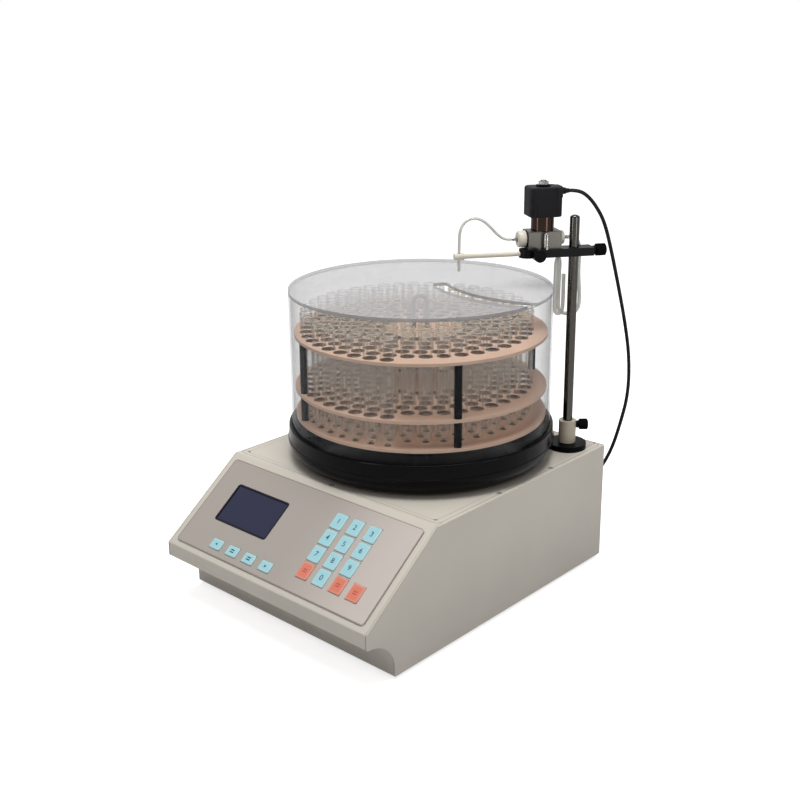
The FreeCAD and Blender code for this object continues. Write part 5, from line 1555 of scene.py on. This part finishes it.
@dataclass(frozen=True)
class Border:
    """A thin flat frame with round corners, given by half its outer size and its centre."""

    half: tuple[float, float]
    middle: tuple[float, float]
    width: float
    corner: float
    rise: float
    sunk: float = 0.05

    def lay(self) -> bmesh.types.BMesh:
        """Skin the frame.

        Returns:
            The mesh, round its own z axis.
        """
        work = bmesh.new()
        rings = []
        for inset, up in ((0.0, -self.sunk), (0.0, self.rise), (self.width, self.rise),
                          (self.width, -self.sunk)):
            corner = max(0.3, self.corner - inset)
            ring = rounded_rectangle(self.half[0] - inset, self.half[1] - inset, corner, up)
            rings.append([point + Vector((*self.middle, 0.0)) for point in ring])
        loft(work, rings, hollow=True)
        return work


@dataclass(frozen=True)
class PanelTrim:
    """A thin painted shadow line round the film's cut edge, a thin printed line round the screen, and the
    gaps where the sheets meet.
    """

    # the film's line is a painted shadow along its cut edge
    film: Border = Border((131.0, 51.5), (0.0, 58.0), width=0.45, corner=3.6, rise=0.03)
    screen: Border = Border((38.2, 22.4), (-65.6, 63.3), width=1.6, corner=3.2, rise=0.12)
    deck: Border = Border((136.9, 133.6), (0.0, 231.3), width=0.4, corner=5.0, rise=0.03)
    level: float = 1.2
    fascia_side: float = 138.6
    gap_half: float = 0.25
    gap_depth: tuple[float, float] = (-0.04, 0.1)
    gap_span: tuple[float, float] = (42.0, 55.5)

    def build(self, finishes: dict[str, bpy.types.Material]) -> None:
        """Make the lines and the gaps.

        Args:
            finishes: The materials by name.
        """
        on_film = SLOPE @ Matrix.Translation((0.0, 0.0, self.level))
        on_deck = HOUSING @ Matrix.Translation((0.0, 0.0, BODY_HEIGHT))
        for name, border, place, finish, slot in (
                ("film_border", self.film, on_film, "film_line", "overlay_film"),
                ("screen_border", self.screen, on_film, "screen_rim", "screen_glass"),
                ("deck_gap", self.deck, on_deck, "sheet_gap", "case_paint")):
            settle(piece(name, border.lay(), place, [finishes[finish]]), Body.HOUSING, slot)
        self.build_fascia_gaps(finishes["film_line"])

    def build_fascia_gaps(self, finish: bpy.types.Material) -> None:
        """Make the upright gap at each end of the fascia.

        Args:
            finish: Its material.
        """
        work = bmesh.new()
        half = self.gap_half
        front, back = self.gap_depth
        for side in (-1, 1):
            corners = [(side * self.fascia_side + x, y)
                       for x, y in ((-half, front), (half, front), (half, back), (-half, back))]
            loft(work, [[Vector((x, y, up)) for x, y in corners] for up in self.gap_span])
        settle(piece("fascia_gaps", work, HOUSING, [finish]), Body.HOUSING, "case_paint")


@dataclass(frozen=True)
class Knob:
    """A ribbed knob with a neck, turned about its own z axis."""

    radius: float
    start: float
    length: float
    neck_radius: float
    neck_length: float
    screw_radius: float
    screw_start: float
    ribs: int = 28
    rib_height: float = 0.45
    rib_root: float = 0.25
    rib_share: float = 0.62
    sides: int = 40

    def build(self, name: str, node: str, body: Body, scatter: Scatter, place: Matrix,
              finish: bpy.types.Material, slot: str) -> None:
        """Make the knob with its ribs.

        Args:
            name: Name of the piece.
            node: CAD node that it stands for.
            body: Body that it rides on.
            scatter: Tree that sets the ribs.
            place: Matrix from the knob's frame to the model's.
            finish: Its material.
            slot: Material slot of the record.
        """
        grip = self.start + self.neck_length
        end = self.start + self.length
        core = self.radius - self.rib_height
        work = bmesh.new()
        lathe(work, [
            (0.0, self.screw_start), (self.screw_radius, self.screw_start), (self.screw_radius, self.start),
            (self.neck_radius, self.start), (self.neck_radius, grip), (core - 0.7, grip), (core, grip + 0.7),
            (core, end - 0.9), (core - 0.9, end), (core - 2.0, end), (core - 2.2, end - 0.3),
            (0.0, end - 0.35)], self.sides)
        spots = [self.rib_spot(index, grip + 0.7, place) for index in range(self.ribs)]
        ribs = scatter.grow(f"{name}_ribs", self.rib(end - grip - 1.4), spots, finish, 0.0)
        work.transform(place)
        work.from_mesh(ribs.data)
        bpy.data.objects.remove(ribs)
        made = piece(name, work, Matrix.Identity(4), [finish], smooth=35.0)
        settle(made, body, slot, node)

    def rib(self, length: float) -> bpy.types.Mesh:
        """One rounded rib, lying along y with its crest up.

        Args:
            length: Its length.

        Returns:
            The mesh.
        """
        half = math.pi * (self.radius - self.rib_height) / self.ribs * self.rib_share
        outline = [(-half, -self.rib_root), (half, -self.rib_root), (half * 0.75, self.rib_height * 0.6),
                   (0.0, self.rib_height), (-half * 0.75, self.rib_height * 0.6)]
        work = bmesh.new()
        loft(work, [[Vector((x, up, z)) for x, z in outline] for up in (0.0, length)])
        return plain_mesh("rib_pattern", work)

    def rib_spot(self, index: int, height: float, place: Matrix) -> Spot:
        """Place and directions of one rib, whose length lies along the knob's axis.

        Args:
            index: Number of the rib.
            height: Height of its lower end.
            place: Matrix from the knob's frame to the model's.

        Returns:
            The spot.
        """
        turn = 2 * math.pi * index / self.ribs
        out = Vector((math.cos(turn), math.sin(turn), 0.0))
        spot = out * (self.radius - self.rib_height) + Vector((0.0, 0.0, height))
        turned = place.to_3x3()
        along = Vector((0.0, 0.0, 1.0))
        return Spot(place @ spot, (turned @ out).normalized(), (turned @ along).normalized())


def build_case(finishes: dict[str, bpy.types.Material]) -> None:
    """Give every CAD node that stays in view its finish.

    Args:
        finishes: The materials by name.
    """
    special = {
        "cover_lid": "clear_lid", "valve_body": "machined_steel", "valve_core": "core_steel",
        "clamp_bar": "black_anodised", "rod_knob": "black_gloss", "rack_handle": "handle_coat",
    }
    for row in frame["record"]["subparts"]:
        node = frame["nodes"][row["node"]]
        finish = finishes[special.get(row["node"], row["material_slot"])]
        node.data.materials.clear()
        node.data.materials.append(finish)


@dataclass(frozen=True)
class ValveDress:
    """Detailed coil, fasteners and fittings of the valve, in the arm's frame."""

    middle: tuple[float, float] = (31.5, -7.0)
    coil_half: tuple[float, float] = (16.4, 13.95)
    coil_low: float = 373.7
    coil_top: float = 403.4
    gland_side: float = -6.0
    gland_up: float = 398.0
    gland_end: float = 4.75
    port: tuple[float, float] = (-6.0, 351.3)
    front: float = 48.75
    rear: float = 14.25
    bar_top: float = 342.0
    valve_top: float = 359.5
    bolt_side: float = 7.1

    def outline(self, inset: float, height: float) -> list[Vector]:
        """Outline of the coil's moulding with its upright grooves.

        Args:
            inset: Distance in from the full size.
            height: Height of the outline.

        Returns:
            The points, anticlockwise.
        """
        half_x, half_y = self.coil_half[0] - inset, self.coil_half[1] - inset
        corner = 4.0
        base = rounded_rectangle(half_x, half_y, corner, height, steps=6)
        points: list[Vector] = []
        for index, point in enumerate(base):
            points.append(point)
            after = base[(index + 1) % len(base)]
            if (after - point).length > 10.0:
                way = (after - point).normalized()
                inward = Vector((-way.y, way.x, 0.0))
                for start in (2.0, (after - point).length - 3.0):
                    for reach, depth in ((0.0, 0.0), (0.25, 0.35), (0.75, 0.35), (1.0, 0.0)):
                        points.append(point + way * (start + reach) + inward * depth)
        return [point + Vector((*self.middle, 0.0)) for point in points]

    @staticmethod
    def along_arm(side: float, up: float, start: float, turn: Matrix = ALONG_X) -> Matrix:
        """Matrix that lays a turned shape along the arm from a start."""
        return Matrix.Translation((start, side, up)) @ turn

    def build_coil(self, finishes: dict[str, bpy.types.Material]) -> None:
        """Make the moulded coil with its shoulder and gland.

        Args:
            finishes: The materials by name.
        """
        work = bmesh.new()
        levels = ((1.2, self.coil_low), (0.3, self.coil_low + 0.4), (0.0, self.coil_low + 1.4),
                  (0.0, self.coil_top - 2.2), (0.5, self.coil_top - 0.8), (1.6, self.coil_top - 0.1),
                  (3.0, self.coil_top))
        loft(work, [self.outline(inset, height) for inset, height in levels])
        rear = self.middle[0] - self.coil_half[0]
        shoulder = [[point + Vector((rear + 1.0, self.gland_side, 0.0))
                     for point in rounded_rectangle(2.6 - inset, 8.0 - inset, 1.2, height)]
                    for inset, height in ((0.8, self.gland_up - 6.2), (0.0, self.gland_up - 5.2),
                                          (0.0, self.gland_up + 4.6), (0.9, self.gland_up + 5.6))]
        loft(work, shoulder)
        gland = self.along_arm(self.gland_side, self.gland_up, rear - 1.4, AGAINST_X)
        reach = rear - 1.4 - self.gland_end
        lathe(work, [(0.0, -1.0), (4.1, -1.0), (4.1, 1.4), (3.7, 1.9), (3.0, 2.0), (3.0, 2.6), (3.4, 2.9),
                     (3.4, 4.6), (2.7, 5.2), (2.2, reach - 0.3), (1.95, reach), (0.0, reach)], 12, gland)
        coil = piece("coil_moulding", work, ARM, [finishes["coil_plastic"]], smooth=35.0)
        settle(coil, Body.ARM, "black_plastic", "valve_coil")

    def build_fasteners(self, finishes: dict[str, bpy.types.Material]) -> None:
        """Make the washer, the nut on its stud and the bolt beside the block.

        Args:
            finishes: The materials by name.
        """
        work = bmesh.new()
        top = Matrix.Translation((*self.middle, self.coil_top))
        lathe(work, [(3.1, 0.0), (7.3, 0.0), (7.5, 0.3), (7.5, 1.2), (7.2, 1.5), (3.1, 1.5)], 40, top,
              finish=1, closed=True)
        flats = 10.0 / math.sqrt(3.0)
        nut = top @ Matrix.Rotation(math.radians(12.0), 4, "Z")
        lathe(work, [(3.2, 1.5), (flats - 0.6, 1.5), (flats, 2.0), (flats, 4.3), (flats - 0.7, 4.9),
                     (3.3, 4.9)], 6, nut, closed=True)
        lathe(work, [(0.0, 0.5), (3.06, 0.5), (3.06, 5.3), (2.5, 6.0), (1.2, 6.3), (0.0, 6.35)], 28, top)
        bolt = Matrix.Translation((self.middle[0], self.bolt_side, self.bar_top))
        high = self.valve_top - self.bar_top - 0.8
        lathe(work, [(0.0, 0.05), (2.8, 0.05), (2.8, high - 2.4), (2.6, high - 1.2), (1.9, high - 0.4),
                     (1.0, high - 0.05), (0.0, high)], 28, bolt)
        made = piece("valve_nut_and_bolt", work, ARM, [finishes["bright_steel"], finishes["black_plastic"]],
                     smooth=35.0)
        settle(made, Body.ARM, "steel", "valve_fasteners")

    def build_fittings(self, finishes: dict[str, bpy.types.Material]) -> None:
        """Make the union nuts with their seals and metal tails.

        Args:
            finishes: The materials by name.
        """
        work = bmesh.new()
        outlet = self.along_arm(*self.port, self.front)
        lathe(work, [(4.0, 0.0), (8.7, 0.0), (8.7, 0.9), (4.0, 0.9)], 36, outlet, finish=2, closed=True)
        lathe(work, [(1.6, 0.9), (8.2, 0.9), (8.5, 1.3), (8.5, 7.2), (8.1, 8.3), (6.9, 9.0), (2.4, 9.0),
                     (2.2, 8.4), (1.6, 8.4)], 14, outlet, closed=True)
        lathe(work, [(0.0, 7.9), (2.9, 7.9), (2.9, 9.7), (2.2, 10.2), (1.5, 10.5), (1.5, 12.0), (1.9, 12.3),
                     (1.2, 14.9), (0.0, 14.9)], 20, outlet, finish=1)
        inlet = self.along_arm(*self.port, self.rear, AGAINST_X)
        lathe(work, [(2.4, 0.0), (6.8, 0.0), (7.0, 0.3), (7.0, 3.6), (6.3, 4.5), (2.4, 4.5)], 14, inlet,
              closed=True)
        lathe(work, [(0.0, 0.5), (2.3, 0.5), (2.3, 5.0), (1.7, 5.4), (1.9, 6.4), (1.5, 7.4), (0.0, 7.4)], 20,
              inlet, finish=1)
        made = piece("valve_unions", work, ARM,
                     [finishes["ivory_plastic"], finishes["bright_steel"], finishes["black_plastic"]],
                     smooth=25.0)
        settle(made, Body.ARM, "ivory_plastic", "valve_fittings")


@dataclass
class Collector:
    """The whole collector, built in order."""

    finishes: dict[str, bpy.types.Material]
    rack: TubeRack = field(default_factory=TubeRack)
    screws: CaseScrews = field(default_factory=CaseScrews)
    keypad: Keypad = field(default_factory=Keypad)
    trim: PanelTrim = field(default_factory=PanelTrim)
    valve: ValveDress = field(default_factory=ValveDress)
    clamp_knob: Knob = Knob(radius=6.2, start=19.3, length=14.0, neck_radius=4.3, neck_length=3.2,
                            screw_radius=2.0, screw_start=5.3)
    collar_knob: Knob = Knob(radius=5.8, start=9.3, length=12.0, neck_radius=3.9, neck_length=2.6,
                             screw_radius=2.0, screw_start=5.3)
    clamp_knob_height: float = 338.0
    base_height: float = 6.0
    collar_gap: float = 0.3
    collar_height: float = 23.9
    screw_drop: float = 5.0

    def build(self) -> None:
        """Dress the nodes and make every detailed piece."""
        build_case(self.finishes)
        scatter = Scatter("Copies on points")
        self.rack.build(scatter, self.finishes)
        self.screws.build(scatter, self.finishes)
        self.keypad.build(self.finishes)
        self.trim.build(self.finishes)
        self.valve.build_coil(self.finishes)
        self.valve.build_fasteners(self.finishes)
        self.valve.build_fittings(self.finishes)
        black = self.finishes["black_plastic"]
        behind_arm = ARM @ Matrix.Translation((0.0, 0.0, self.clamp_knob_height)) @ AGAINST_X
        self.clamp_knob.build("clamp_knob_grip", "clamp_knob", Body.CLAMP_KNOB, scatter, behind_arm, black,
                              "black_plastic")
        collar_screw = (BODY_HEIGHT + self.base_height + self.collar_gap + self.collar_height
                        - self.screw_drop)
        beside_mast = (MAST @ Matrix.Rotation(COLLAR_KNOB_TURN, 4, "Z")
                       @ Matrix.Translation((0.0, 0.0, collar_screw)) @ ALONG_X)
        self.collar_knob.build("collar_knob_grip", "collar_knob", Body.COLLAR_KNOB, scatter, beside_mast,
                               black, "black_plastic")


def main() -> None:
    """Build the viewpoint, the cords, the studio and the collector in order."""
    logging.basicConfig(level=logging.INFO, format="%(message)s")
    Viewpoint().build()
    effects = Effects()
    finishes = make_finishes(effects)
    Tubing().build(finishes)
    Studio().build()
    Collector(finishes).build()


if __name__ == "__main__":
    main()
